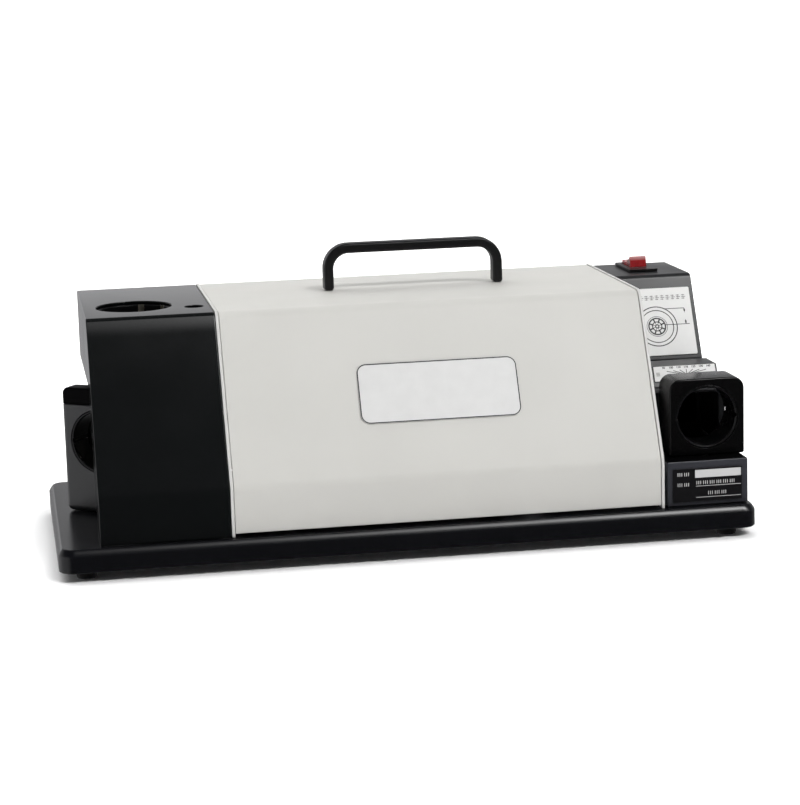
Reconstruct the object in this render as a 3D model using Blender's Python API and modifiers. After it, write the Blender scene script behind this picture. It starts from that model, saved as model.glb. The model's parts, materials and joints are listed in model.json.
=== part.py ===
"""Bench drill bit sharpener: a base tray with a motor under a bent sheet cover, a hood with the
chuck setting cup and the web thinning port on the left, and a console with the switch, the swivelling
point grinding port and its angle scale on the right. One motor shaft carries a wheel at each end.

Lengths are in millimetres and become metres in the helpers. +X runs along the machine to the right,
+Y to the back and +Z up. The origin is on the floor, under the middle of the base. Heights are drawn
from a level DATUM above the floor, and raise_to_datum lifts the finished parts by that much."""

import math

import bmesh
import bpy
from mathutils import Matrix, Vector

MM = 0.001
GAP = 0.3  # clearance between neighbouring solids
LABEL_SHEET = 0.5
DATUM = 2.5

# Base tray and feet
BASE_LENGTH, BASE_DEPTH = 472.0, 220.0
BASE_BOTTOM, BASE_TOP = 4.0, 19.4
BASE_CORNER, BASE_ROLL, BASE_SHEET = 11.0, 3.5, 2.0
FLOOR = BASE_TOP + GAP  # underside of everything that stands on the tray
FOOT_X, FOOT_Y = 218.0, 93.0

# The section that hood, cover and end plates share, as Y and Z
FRONT, BEND, SLOPE_TOP, TOP, BACK = -102.5, 52.7, -45.5, 161.3, 103.2
COVER_SHEET, HOOD_SHEET, PLATE = 1.5, 2.0, 2.0
PLATE_PROUD = 0.6
HOOD_LEFT, HOOD_RIGHT = -208.3, -122.3
REAR_LEG, REAR_LEG_TOP = 96.0, 84.0  # Y and height of the leg left standing at the hood's rear corner
LEFT_PLATE, RIGHT_PLATE = -122.0, 170.1  # left faces of the end plates
COVER_BOTTOM = 22.0

# Handle
HANDLE_LEFT, HANDLE_RIGHT, HANDLE_TOP = -37.3, 91.0, 194.2
HANDLE_BAR, HANDLE_FRONT, HANDLE_BACK = 6.9, 28.5, 40.5
HANDLE_Y = (HANDLE_FRONT + HANDLE_BACK) / 2
HANDLE_LEGS = (HANDLE_LEFT + HANDLE_BAR / 2, HANDLE_RIGHT - HANDLE_BAR / 2)

# Left end: setting cup, tool tube and web thinning port
CUP_X, CUP_Y, CUP_HOLE, CUP_BORE = -173.4, 3.5, 26.0, 25.0
TUBE_X, TUBE_Y, TUBE_HOLE = -133.2, -11.0, 6.5
THIN_X, THIN_Y, THIN_Z, THIN_TURN = -202.5, -5.8, 70.0, -35.0
THIN_WIDTH, THIN_DEPTH, THIN_TOP = 58.0, 18.0, 106.5
THIN_FACE_TOP, THIN_STEP = 95.0, 1.6  # above its face the block's front is set back by a step
PORT_BORE, BUSH_WALL = 20.0, 1.7

# Right end: console, lower box, port housing and swivel block
CONSOLE_LEFT, CONSOLE_RIGHT, CONSOLE_TOP = 172.4, 230.7, 160.3
CONSOLE_FRONT, CONSOLE_FOLD, CONSOLE_EDGE = 3.5, 103.0, 33.0
LOWER_LEFT, LOWER_RIGHT, LOWER_FRONT, LOWER_TOP = 174.9, 231.5, -100.0, 50.5
HOUSING_FRONT, HOUSING_BACK, HOUSING_TOP, HOUSING_STEP = -50.5, -5.3, 104.3, 91.0
HOUSING_SHELF = 100.0  # top of the lower rear step, which reaches back to the console
SCALE_FOOT, SCALE_HEAD = -38.0, -30.5  # Y of the scale face at HOUSING_STEP and HOUSING_TOP
PORT_X, PORT_Z = 207.4, 77.4
PIVOT_Y, LOCK_Y = -62.0, -80.0
BLOCK_FRONT, BLOCK_BACK, BLOCK_HALF, BLOCK_TOP = -85.0, -58.0, 26.4, 104.0
BLOCK_BOTTOM = LOWER_TOP + GAP
SWIVEL_LIMIT = 14.0  # degrees from the 118 degree point to the 90 degree point

# Switch and mains inlet
SWITCH_X, SWITCH_Y, SWITCH_HALF = 200.8, 72.0, 22.0
ROCKER_Y, ROCKER_Z, ROCKER_HALF, ROCKER_TILT = 76.5, 159.5, 11.2, 13.0
INLET_X, INLET_Z = 201.0, 123.0

# Motor, on an axis along X
AXIS_Y, AXIS_Z = 50.0, 75.0
MOTOR_LEFT, MOTOR_RIGHT, MOTOR_RADIUS, MOTOR_WALL = -66.0, 84.0, 46.0, 3.0
CORE_LEFT, CORE_RIGHT = -25.0, 45.0
SHAFT_LEFT, SHAFT_RIGHT, SHAFT_THIN = -200.0, 226.0, 6.0
BEARING_BORE, BEARING_RADIUS, BEARING_WIDTH = 7.5, 17.5, 11.0
WHEEL_LEFT, WHEEL_RIGHT, WHEEL_RADIUS, WHEEL_NOSE = 194.0, 216.0, 44.0, 31.0
THIN_WHEEL_X, THIN_WHEEL_RADIUS = -186.0, 33.0
CRADLE_LEFT, CRADLE_RIGHT, CRADLE_TOP = -46.0, 64.0, 48.0

PARTS = None
CUTTERS = None
PAINTS = {}


def clear_scene():
    for obj in list(bpy.data.objects):
        bpy.data.objects.remove(obj, do_unlink=True)


def new_collection(name):
    collection = bpy.data.collections.new(name)
    bpy.context.scene.collection.children.link(collection)
    return collection


def paint(name, color, roughness, metallic=0.0):
    material = bpy.data.materials.new(name)
    material.use_nodes = True
    shader = material.node_tree.nodes["Principled BSDF"]
    shader.inputs["Base Color"].default_value = (*color, 1.0)
    shader.inputs["Roughness"].default_value = roughness
    shader.inputs["Metallic"].default_value = metallic
    PAINTS[name] = material


def own_material(node, kind):
    """Each node has its own copy of a kind of finish."""
    material = PAINTS[kind].copy()
    material.name = f"{node}_{kind}"
    return material


def add_object(name, mesh, kind, turn=None):
    """A part where kind is a finish, or a cutter where kind is None."""
    obj = bpy.data.objects.new(name, mesh)
    if kind is None:
        CUTTERS.objects.link(obj)
        obj.hide_render = True
        obj.display_type = "WIRE"
    else:
        PARTS.objects.link(obj)
        mesh.materials.append(own_material(name, kind))
    if turn is not None:
        obj.matrix_world = turn
    return obj


def mesh_of(bm, name, smooth=False):
    bmesh.ops.recalc_face_normals(bm, faces=bm.faces)
    mesh = bpy.data.meshes.new(name)
    bm.to_mesh(mesh)
    bm.free()
    if smooth:
        mesh.shade_smooth()
        mesh.set_sharp_from_angle(angle=math.radians(35))
    return mesh


# Directions of the local X, Y and Z axes for a shape whose own Z runs along a world axis
ALONG = {
    "X": Matrix(((0, 0, 1), (1, 0, 0), (0, 1, 0))).to_4x4(),
    "Y": Matrix(((1, 0, 0), (0, 0, -1), (0, 1, 0))).to_4x4(),
    "Z": Matrix.Identity(4),
}


def at(x, y, z):
    return Matrix.Translation(Vector((x, y, z)) * MM)


def arc_points(before, corner, after, radius):
    """Points of a round corner, about one for each 18 degrees of turn."""
    a = (Vector(before) - Vector(corner)).normalized()
    b = (Vector(after) - Vector(corner)).normalized()
    half = a.angle(b) / 2
    centre = Vector(corner) + (a + b).normalized() * radius / math.sin(half)
    start = Vector(corner) + a * radius / math.tan(half) - centre
    turn = math.pi - 2 * half
    side = -1 if a.cross(b) > 0 else 1
    count = max(2, round(math.degrees(turn) / 18))
    return [centre + Matrix.Rotation(side * turn * i / count, 2) @ start for i in range(count + 1)]


def rounded(corners):
    """A closed outline from corners (a, b) or (a, b, radius)."""
    points = []
    for i, corner in enumerate(corners):
        if len(corner) < 3 or corner[2] <= 0:
            points.append(Vector(corner[:2]))
            continue
        before, after = corners[i - 1][:2], corners[(i + 1) % len(corners)][:2]
        points += arc_points(before, corner[:2], after, corner[2])
    return points


def inset(corners, distances):
    """The outline with each side moved inwards. Side i runs from corner i to the next one, and the
    outline runs clockwise, as all sections here do."""
    count = len(corners)
    moved = []
    for i, distance in enumerate(distances):
        start, end = Vector(corners[i][:2]), Vector(corners[(i + 1) % count][:2])
        along = (end - start).normalized()
        moved.append((start + Vector((along.y, -along.x)) * distance, along))
    result = []
    for i in range(count):
        (p, u), (q, v) = moved[i - 1], moved[i]
        point = p + u * ((q - p).cross(v) / u.cross(v))
        radius = corners[i][2] if len(corners[i]) > 2 else 0
        shrink = distances[i] if u.cross(v) < 0 else -distances[i]
        result.append((point.x, point.y, max(0.0, radius - shrink) if radius else 0.0))
    return result


def prism(name, axis, corners, low, high, kind):
    """An outline extruded along an axis: a filled 2D curve, made a mesh with its caps welded."""
    curve = bpy.data.curves.new(name, "CURVE")
    curve.dimensions = "2D"
    curve.fill_mode = "BOTH"
    curve.extrude = (high - low) / 2 * MM
    points = rounded(corners)
    spline = curve.splines.new("POLY")
    spline.points.add(len(points) - 1)
    for slot, point in zip(spline.points, points):
        slot.co = (point.x * MM, point.y * MM, 0, 1)
    spline.use_cyclic_u = True
    holder = bpy.data.objects.new(f"{name}_outline", curve)
    bpy.context.scene.collection.objects.link(holder)
    graph = bpy.context.evaluated_depsgraph_get()
    solid = bpy.data.meshes.new_from_object(holder.evaluated_get(graph))
    bpy.data.objects.remove(holder)
    middle = (low + high) / 2 * MM * (-1 if axis == "Y" else 1)
    bm = bmesh.new()
    bm.from_mesh(solid)
    bpy.data.meshes.remove(solid)
    bmesh.ops.remove_doubles(bm, verts=bm.verts, dist=1e-6)
    bmesh.ops.dissolve_limit(bm, angle_limit=0.002, verts=bm.verts, edges=bm.edges)
    bmesh.ops.transform(bm, matrix=ALONG[axis] @ Matrix.Translation((0, 0, middle)), verts=bm.verts)
    return add_object(name, mesh_of(bm, name, smooth=True), kind)


def box(name, low, high, kind, turn=None):
    size = [(b - a) * MM for a, b in zip(low, high)]
    centre = [(a + b) / 2 for a, b in zip(low, high)]
    bm = bmesh.new()
    bmesh.ops.create_cube(bm, size=1.0, matrix=at(*centre) @ Matrix.Diagonal((*size, 1)))
    return add_object(name, mesh_of(bm, name), kind, turn)


def cylinder(name, axis, centre, radius, length, kind, segments=32, turn=None):
    bm = bmesh.new()
    bmesh.ops.create_cone(bm, cap_ends=True, segments=segments, radius1=radius * MM,
                          radius2=radius * MM, depth=length * MM, matrix=at(*centre) @ ALONG[axis])
    return add_object(name, mesh_of(bm, name, smooth=segments > 8), kind, turn)


def turned(name, axis, origin, profile, kind, steps=32, turn=None):
    """A closed ring profile of (radius, height) points turned about an axis, running down its
    outer side."""
    bm = bmesh.new()
    verts = [bm.verts.new((radius * MM, 0, height * MM)) for radius, height in profile]
    solid = profile[0][0] == 0
    for i in range(len(verts) - (1 if solid else 0)):
        bm.edges.new((verts[i], verts[(i + 1) % len(verts)]))
    mesh = bpy.data.meshes.new(name)
    bm.to_mesh(mesh)
    bm.free()
    obj = add_object(name, mesh, kind)
    obj.matrix_world = (turn or Matrix.Identity(4)) @ at(*origin) @ ALONG[axis]
    screw = obj.modifiers.new("Screw", "SCREW")
    screw.steps = screw.render_steps = steps
    screw.use_merge_vertices = True
    screw.merge_threshold = 0.00001
    return obj


def boolean(obj, other, operation):
    modifier = obj.modifiers.new(f"{operation}_{other.name}"[:60], "BOOLEAN")
    modifier.operation = operation
    modifier.object = other
    modifier.solver = "EXACT"


def cut(obj, *cutters):
    for cutter in cutters:
        boolean(obj, cutter, "DIFFERENCE")


def join(obj, *others):
    for other in others:
        boolean(obj, other, "UNION")


def round_edges(obj, width, segments=2, angle=40):
    bevel = obj.modifiers.new("Bevel", "BEVEL")
    bevel.width = width * MM
    bevel.segments = segments
    bevel.limit_method = "ANGLE"
    bevel.angle_limit = math.radians(angle)


def many_boxes(name, spans):
    """Several boxes in one cutter, for a row of slots, or in one piece to join."""
    bm = bmesh.new()
    for low, high in spans:
        size = [(b - a) * MM for a, b in zip(low, high)]
        centre = [(a + b) / 2 for a, b in zip(low, high)]
        bmesh.ops.create_cube(bm, size=1.0, matrix=at(*centre) @ Matrix.Diagonal((*size, 1)))
    return add_object(name, mesh_of(bm, name), None)


def shell_section(bottom, lower_bend, upper_bend, back_bend):
    """The shared section, clockwise from the front's foot: front, slope, top, back, bottom."""
    return [(FRONT, bottom), (FRONT, BEND, lower_bend), (SLOPE_TOP, TOP, upper_bend),
            (BACK, TOP, back_bend), (BACK, bottom)]


def screw_solid(name, axis, origin, head_radius, head_height, shank_length):
    """A pan head with its shank of 4 mm. The head's underside is at the origin, with the head on the
    -Z side of the shape's own axis and the shank on its +Z side."""
    shank_radius = 2.0
    profile = [(0, shank_length), (shank_radius, shank_length), (shank_radius, 0), (head_radius, 0),
               (head_radius, -head_height * 0.55), (head_radius * 0.75, -head_height), (0, -head_height)]
    turned(name, axis, origin, profile, "zinc", steps=20)


def make_paints():
    paint("black_gloss", (0.012, 0.013, 0.016), 0.18)
    paint("black_satin", (0.015, 0.015, 0.017), 0.38)
    paint("cover_white", (0.68, 0.67, 0.63), 0.42)
    paint("plate_white", (0.78, 0.78, 0.76), 0.45)
    paint("label_white", (0.86, 0.86, 0.84), 0.5)
    paint("rubber", (0.02, 0.02, 0.02), 0.85)
    paint("steel", (0.55, 0.55, 0.56), 0.3, 1.0)
    paint("zinc", (0.62, 0.62, 0.6), 0.35, 1.0)
    paint("aluminium", (0.72, 0.72, 0.73), 0.4, 1.0)
    paint("iron", (0.3, 0.3, 0.32), 0.55, 1.0)
    paint("copper", (0.62, 0.3, 0.15), 0.4, 1.0)
    paint("grit", (0.36, 0.34, 0.3), 0.9)
    paint("switch_red", (0.7, 0.03, 0.02), 0.2)
    paint("switch_black", (0.02, 0.02, 0.02), 0.35)
    paint("plastic_grey", (0.25, 0.26, 0.28), 0.5)


def make_base():
    half_x, half_y = BASE_LENGTH / 2, BASE_DEPTH / 2

    def rectangle(inner, radius):
        x, y = half_x - inner, half_y - inner
        return [(-x, -y, radius), (-x, y, radius), (x, y, radius), (x, -y, radius)]

    tray = prism("base_tray", "Z", rectangle(0, BASE_CORNER), BASE_BOTTOM, BASE_TOP, "black_gloss")
    bm = bmesh.new()
    bm.from_mesh(tray.data)
    top = BASE_TOP * MM - 1e-5
    rim = [edge for edge in bm.edges if all(vert.co.z > top for vert in edge.verts)]
    bmesh.ops.bevel(bm, geom=rim, offset=BASE_ROLL * MM, segments=3, profile=0.5, affect="EDGES")
    bm.to_mesh(tray.data)
    bm.free()
    hollow = prism("tray_hollow", "Z", rectangle(BASE_SHEET, BASE_CORNER - BASE_SHEET),
                   BASE_BOTTOM - 5, BASE_TOP - BASE_SHEET, None)
    access = cylinder("lock_access", "Z", (PORT_X, LOCK_Y, BASE_TOP), 6.0, 10, None, 24)
    cut(tray, hollow, access)

    sides = {"left": -1, "right": 1}
    rows = {"front": -1, "back": 1}
    top = BASE_TOP - BASE_SHEET - GAP
    for row, y in rows.items():
        for side, x in sides.items():
            profile = [(0, top), (8.0, top), (6.4, 0.8 - DATUM), (5.7, -DATUM), (3.4, -DATUM),
                       (3.4, 0), (0, 0)]
            turned(f"foot_{row}_{side}", "Z", (x * FOOT_X, y * FOOT_Y, 0), profile, "rubber", 24)


def make_end_plate(name, low, flange_side):
    """A white end plate: the shell's section, a shaft hole and a rear flange that takes the cover's
    screws."""
    corners = inset(shell_section(FLOOR, 12, 9, 4), [-PLATE_PROUD, -PLATE_PROUD, -PLATE_PROUD, 0, 0])
    plate = prism(name, "X", corners, low, low + PLATE, "plate_white")
    edge = low + PLATE / 2
    span = sorted((edge, edge + flange_side * 15))
    back = BACK - COVER_SHEET - GAP - 0.2
    flange = box(f"{name}_flange", (span[0], back - 2, 30), (span[1], back, 150), None)
    hole = cylinder(f"{name}_shaft_hole", "X", (low, AXIS_Y, AXIS_Z), 12, 20, None)
    join(plate, flange)
    cut(plate, hole)
    return plate


def make_shell():
    """The end plates, the motor cover between them, its screws and its handle."""
    left = make_end_plate("left_end_plate", LEFT_PLATE, 1)
    right = make_end_plate("right_end_plate", RIGHT_PLATE, -1)
    cover_left, cover_right = LEFT_PLATE + PLATE + GAP, RIGHT_PLATE - GAP
    section = shell_section(COVER_BOTTOM, 12, 9, 4)
    cover = prism("motor_cover", "X", section, cover_left, cover_right, "cover_white")
    hollow = prism("cover_hollow", "X", inset(section, [COVER_SHEET] * 4 + [-10]),
                   cover_left - 5, cover_right + 5, None)
    slots = [((-70 + 16 * i, BACK - 5, 70), (-65 + 16 * i, BACK + 5, 112)) for i in range(13)]
    cut(cover, hollow, many_boxes("cover_vents", slots))
    for side, plate, x in (("left", left, LEFT_PLATE + 10), ("right", right, RIGHT_PLATE - 8)):
        for level, z in (("lower", 42.0), ("upper", 138.0)):
            name = f"cover_screw_{side}_{level}"
            hole = cylinder(f"{name}_hole", "Y", (x, BACK, z), 2.4, 16, None, 20)
            cut(cover, hole)
            cut(plate, hole)
            screw_solid(name, "Y", (x, BACK + GAP, z), 4.0, 2.4, 9)
    make_handle(cover)


def make_handle(cover):
    low = TOP + GAP
    inner_top = HANDLE_TOP - HANDLE_BAR
    left, right = HANDLE_LEFT + HANDLE_BAR, HANDLE_RIGHT - HANDLE_BAR
    corners = [(HANDLE_LEFT, low), (HANDLE_LEFT, HANDLE_TOP, 18), (HANDLE_RIGHT, HANDLE_TOP, 18),
               (HANDLE_RIGHT, low), (right, low), (right, inner_top, 11), (left, inner_top, 11),
               (left, low)]
    handle = prism("handle", "Y", corners, HANDLE_FRONT, HANDLE_BACK, "black_satin")
    round_edges(handle, 1.6)
    for side, x in zip(("left", "right"), HANDLE_LEGS):
        cut(handle, cylinder(f"handle_{side}_thread", "Z", (x, HANDLE_Y, low + 6), 2.4, 16, None, 20))
        cut(cover, cylinder(f"handle_{side}_hole", "Z", (x, HANDLE_Y, TOP), 2.7, 10, None, 20))
        screw_solid(f"handle_screw_{side}", "Z", (x, HANDLE_Y, TOP - COVER_SHEET - GAP), 4.2, 3.0, 14)


def make_left_end():
    section = shell_section(FLOOR, 5, 4.5, 4)
    hood = prism("left_hood", "X", section, HOOD_LEFT, HOOD_RIGHT, "black_gloss")
    hollow = prism("hood_hollow", "X", inset(section, [HOOD_SHEET] * 4 + [-10]),
                   HOOD_LEFT + HOOD_SHEET, HOOD_RIGHT + 5, None)
    side_opening = [(-72, 8), (-60, 46, 30), (-32, 113, 12), (115, 113), (115, REAR_LEG_TOP),
                    (REAR_LEG, REAR_LEG_TOP), (REAR_LEG, 8)]
    opening = prism("hood_side_opening", "X", side_opening, HOOD_LEFT - 5, HOOD_LEFT + 4.8, None)
    top_hole = cylinder("hood_top_hole", "Z", (CUP_X, CUP_Y, TOP), CUP_HOLE, 20, None, 40)
    tube_hole = cylinder("hood_tube_hole", "Z", (TUBE_X, TUBE_Y, TOP), TUBE_HOLE, 20, None, 24)
    cut(hood, hollow, opening, top_hole, tube_hole)

    under = TOP - HOOD_SHEET - GAP
    cup_floor, cup_foot = 116.0, 113.0
    cup = turned("setting_cup", "Z", (CUP_X, CUP_Y, 0),
                 [(CUP_BORE, under), (31, under), (31, under - 3), (28.5, under - 3), (28.5, cup_foot),
                  (5.3, cup_foot), (5.3, cup_floor), (CUP_BORE, cup_floor)], "black_satin", 40)
    for i, angle in enumerate((35, 75)):
        turn = at(CUP_X, CUP_Y, 0) @ Matrix.Rotation(math.radians(angle), 4, "Z")
        cut(cup, box(f"cup_keyway_{i}", (20, -2, cup_floor + 1), (CUP_BORE + 1.6, 2, TOP), None, turn))
    stop_profile = [(0, 119.4), (8.0, 119.4), (9.0, 118.6), (9.0, 116.3), (5.0, 116.3), (5.0, 109),
                    (0, 109)]
    turned("setting_stop", "Z", (CUP_X, CUP_Y, 0), stop_profile, "steel", 24)
    turned("tool_tube", "Z", (TUBE_X, TUBE_Y, 0),
           [(0, 102), (TUBE_HOLE, 102), (TUBE_HOLE, under), (10, under), (10, under - 2), (8, under - 2),
            (8, 100), (0, 100)], "black_satin", 24)

    make_thinning_port()
    box("left_guard_front", (-177, -24, FLOOR), (HOOD_RIGHT, -22, 110), "black_satin")
    box("left_guard_side", (-203, 18.8, FLOOR), (-201, BACK - HOOD_SHEET - GAP, 135), "black_satin")


def make_thinning_port():
    """The block of the web thinning port, turned about the vertical. Its own X runs along its face,
    its own Y into the machine, and its own origin is the port's centre on the face."""
    turn = at(THIN_X, THIN_Y, THIN_Z) @ Matrix.Rotation(math.radians(THIN_TURN), 4, "Z")
    half = THIN_WIDTH / 2
    block = box("thinning_block", (-half, 0, FLOOR - THIN_Z), (half, THIN_DEPTH, THIN_TOP - THIN_Z),
                "black_gloss", turn)
    round_edges(block, 4.0, 3)
    outer = PORT_BORE + BUSH_WALL
    step = box("thinning_step", (-half - 5, -5, THIN_FACE_TOP - THIN_Z), (half + 5, THIN_STEP, 50),
               None, turn)
    bore = cylinder("thinning_bore", "Y", (0, THIN_DEPTH / 2, 0), outer + GAP, 40, None, 40, turn)
    cut(block, bore, step)
    bush = turned("thinning_bush", "Y", (0, 0, 0), bush_profile(THIN_DEPTH), "black_satin", 40, turn)
    notch = box("thinning_notch", (-PORT_BORE - 1, -5, -1.5), (PORT_BORE + 1, THIN_DEPTH + 5, 1.5),
                None, turn)
    cut(bush, notch)


def bush_profile(depth):
    """The ring of a port's bush, 0.2 mm behind the block's face."""
    outer = PORT_BORE + BUSH_WALL
    return [(PORT_BORE, -0.2), (outer, -0.2), (outer, -depth), (PORT_BORE, -depth)]


def console_section(bottom):
    """Clockwise from the front wall's foot: front wall, sloped panel, top, back, bottom."""
    return [(CONSOLE_FRONT, bottom), (CONSOLE_FRONT, CONSOLE_FOLD, 3), (CONSOLE_EDGE, CONSOLE_TOP, 5),
            (BACK, CONSOLE_TOP, 4), (BACK, bottom)]


def housing_section():
    """Clockwise from the front wall's foot: front wall, step, scale face, ledge, drop, shelf, back,
    bottom. The lower part closes the way between the ports' chamber and the console."""
    rear = CONSOLE_FRONT - GAP
    return [(HOUSING_FRONT, BLOCK_BOTTOM), (HOUSING_FRONT, HOUSING_STEP, 2.5),
            (SCALE_FOOT, HOUSING_STEP), (SCALE_HEAD, HOUSING_TOP, 1.8),
            (HOUSING_BACK, HOUSING_TOP, 1.8), (HOUSING_BACK, HOUSING_SHELF),
            (rear, HOUSING_SHELF), (rear, BLOCK_BOTTOM)]


def make_right_end():
    section = console_section(FLOOR)
    console = prism("right_console", "X", section, CONSOLE_LEFT, CONSOLE_RIGHT, "black_gloss")
    hollow = prism("console_hollow", "X", inset(section, [HOOD_SHEET] * 4 + [-10]),
                   CONSOLE_LEFT - 5, CONSOLE_RIGHT - HOOD_SHEET, None)
    window = box("console_window", (184, CONSOLE_FRONT - 5, 56), (226, CONSOLE_FRONT + 4, 94), None)
    switch_hole = box("switch_hole", (SWITCH_X - 9.6, SWITCH_Y - 18.4, CONSOLE_TOP - 5),
                      (SWITCH_X + 9.6, SWITCH_Y + 19.0, CONSOLE_TOP + 5), None)
    inlet_hole = box("inlet_hole", (INLET_X - 14, BACK - 5, INLET_Z - 10.3),
                     (INLET_X + 14, BACK + 5, INLET_Z + 10.3), None)
    cut(console, hollow, window, switch_hole, inlet_hole)

    lower = box("lower_right_box", (LOWER_LEFT, LOWER_FRONT, FLOOR),
                (LOWER_RIGHT, CONSOLE_FRONT - GAP, LOWER_TOP), "black_gloss")
    round_edges(lower, 1.0)
    lower_hollow = box("lower_hollow", (LOWER_LEFT + 2, LOWER_FRONT + 2, 0),
                       (LOWER_RIGHT - 2, 20, LOWER_TOP - 2), None)
    pin_hole = cylinder("pin_hole", "Z", (PORT_X, PIVOT_Y, LOWER_TOP), 4.3, 12, None, 24)
    reach = math.radians(SWIVEL_LIMIT) * (PIVOT_Y - LOCK_Y) + 2.4
    lock_slot = box("lock_slot", (PORT_X - reach, LOCK_Y - 2.4, LOWER_TOP - 6),
                    (PORT_X + reach, LOCK_Y + 3.2, LOWER_TOP + 6), None)
    cut(lower, lower_hollow, pin_hole, lock_slot)

    section = housing_section()
    housing = prism("port_housing", "X", section, LOWER_LEFT, CONSOLE_RIGHT, "black_gloss")
    housing_hollow = prism("housing_hollow", "X", inset(section, [2, 2, 2, 2, 2, 2, -8, -8]),
                           LOWER_LEFT + 2, CONSOLE_RIGHT - 2, None)
    housing_window = box("housing_window", (184, HOUSING_FRONT - 5, 56), (226, HOUSING_FRONT + 4, 88), None)
    cut(housing, housing_hollow, housing_window)
    make_swivel_port()
    make_switch()
    make_inlet()


def make_swivel_port():
    """The grinding port's block, with its own origin on its vertical pivot."""
    corners = [(-BLOCK_HALF, BLOCK_BOTTOM, 1.5), (-BLOCK_HALF, BLOCK_TOP, 8), (BLOCK_HALF, BLOCK_TOP, 8),
               (BLOCK_HALF, BLOCK_BOTTOM, 1.5)]
    block = prism("swivel_block", "Y", corners, BLOCK_FRONT - PIVOT_Y, BLOCK_BACK - PIVOT_Y, "black_gloss")
    round_edges(block, 1.4, 2)
    pivot = at(PORT_X, PIVOT_Y, 0)
    block.matrix_world = pivot
    outer = PORT_BORE + BUSH_WALL
    depth = BLOCK_BACK - BLOCK_FRONT
    front = BLOCK_FRONT - PIVOT_Y
    bore = cylinder("swivel_bore", "Y", (0, front + depth / 2, PORT_Z), outer + GAP, depth + 20,
                    None, 40, pivot)
    pin_pocket = cylinder("pin_pocket", "Z", (0, 0, BLOCK_BOTTOM), 4.3, 7.4, None, 24, pivot)
    lock_pocket = cylinder("lock_pocket", "Z", (0, LOCK_Y - PIVOT_Y, BLOCK_BOTTOM), 2.3, 7.4,
                           None, 20, pivot)
    cut(block, bore, pin_pocket, lock_pocket)
    bush = turned("swivel_bush", "Y", (0, front, PORT_Z), bush_profile(depth), "black_satin", 40, pivot)
    cut(bush, box("swivel_notch", (-PORT_BORE - 1, front - 5, PORT_Z - 1.5),
                  (PORT_BORE + 1, front + depth + 5, PORT_Z + 1.5), None, pivot))
    under = LOWER_TOP - 2 - GAP
    tip = BLOCK_BOTTOM + 3.4
    pin_profile = [(0, tip), (4, tip), (4, under), (7, under), (7, under - 3), (0, under - 3)]
    lock_profile = [(0, tip), (2, tip), (2, under), (4.2, under), (4.2, under - 4), (0, under - 4)]
    turned("swivel_pin", "Z", (PORT_X, PIVOT_Y, 0), pin_profile, "steel", 24)
    turned("swivel_lock_screw", "Z", (0, LOCK_Y - PIVOT_Y, 0), lock_profile, "zinc", 20, pivot)


def make_switch():
    """The rocker stands on its own pivot, pressed down at the back and raised at the front."""
    bezel = box("switch_bezel", (SWITCH_X - 10.6, SWITCH_Y - SWITCH_HALF, CONSOLE_TOP + GAP),
                (SWITCH_X + 10.6, SWITCH_Y + SWITCH_HALF, CONSOLE_TOP + 2.2), "switch_black")
    round_edges(bezel, 0.8)
    body = box("switch_body", (SWITCH_X - 9.2, SWITCH_Y - 18, 138),
               (SWITCH_X + 9.2, SWITCH_Y + 18.6, CONSOLE_TOP + 1), None)
    pocket = box("switch_pocket", (SWITCH_X - 6.7, ROCKER_Y - ROCKER_HALF - 1.4, ROCKER_Z - 8),
                 (SWITCH_X + 6.7, ROCKER_Y + ROCKER_HALF + 1.4, 170), None)
    join(bezel, body)
    cut(bezel, pocket)
    end = ROCKER_HALF
    corners = [(-end, -2.5, 1), (-end, 8.3, 1), (0, 5.8), (end, 8.3, 1), (end, -2.5, 1)]
    rocker = prism("switch_rocker", "X", corners, -6.2, 6.2, "switch_red")
    round_edges(rocker, 0.5, 1)
    tilt = Matrix.Rotation(-math.radians(ROCKER_TILT), 4, "X")
    rocker.matrix_world = at(SWITCH_X, ROCKER_Y, ROCKER_Z) @ tilt


def make_inlet():
    """A mains inlet: flange, body and three blades standing in its socket."""

    def block(name, half_x, half_z, front, back, kind=None):
        return box(name, (INLET_X - half_x, front, INLET_Z - half_z),
                   (INLET_X + half_x, back, INLET_Z + half_z), kind)

    inlet = block("power_inlet", 24, 12, BACK + GAP, BACK + 2.3, "switch_black")
    round_edges(inlet, 0.6, 1)
    body = block("inlet_body", 13.6, 9.9, BACK - 24, BACK + 1)
    socket = block("inlet_socket", 12.2, 8.3, BACK - 13, BACK + 9)
    blades = []
    for dx, dz in ((-7, -1), (0, 2.5), (7, -1)):
        x, z = INLET_X + dx, INLET_Z + dz
        blades.append(((x - 1, BACK - 14, z - 2), (x + 1, BACK - 4, z + 2)))
    join(inlet, body)
    cut(inlet, socket)
    join(inlet, many_boxes("inlet_blades", blades))


def ring(name, low, high, inner, outer, kind, steps=24):
    """A plain ring on the motor's axis."""
    profile = [(inner, high), (outer, high), (outer, low), (inner, low)]
    return turned(name, "X", (0, AXIS_Y, AXIS_Z), profile, kind, steps)


def make_end_bell(name, face, side):
    """A motor end bell with its bearing seat. side is +1 at the right end and -1 at the left."""
    seat = BEARING_RADIUS + GAP
    depth = BEARING_WIDTH + GAP
    profile = [(seat, 0), (MOTOR_RADIUS, 0), (MOTOR_RADIUS, 6), (24, depth + 3), (10.5, depth + 3),
               (10.5, depth), (seat, depth)]
    if side > 0:
        profile.reverse()
    points = [(radius, face + side * along) for radius, along in profile]
    turned(name, "X", (0, AXIS_Y, AXIS_Z), points, "aluminium", 24)


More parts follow.
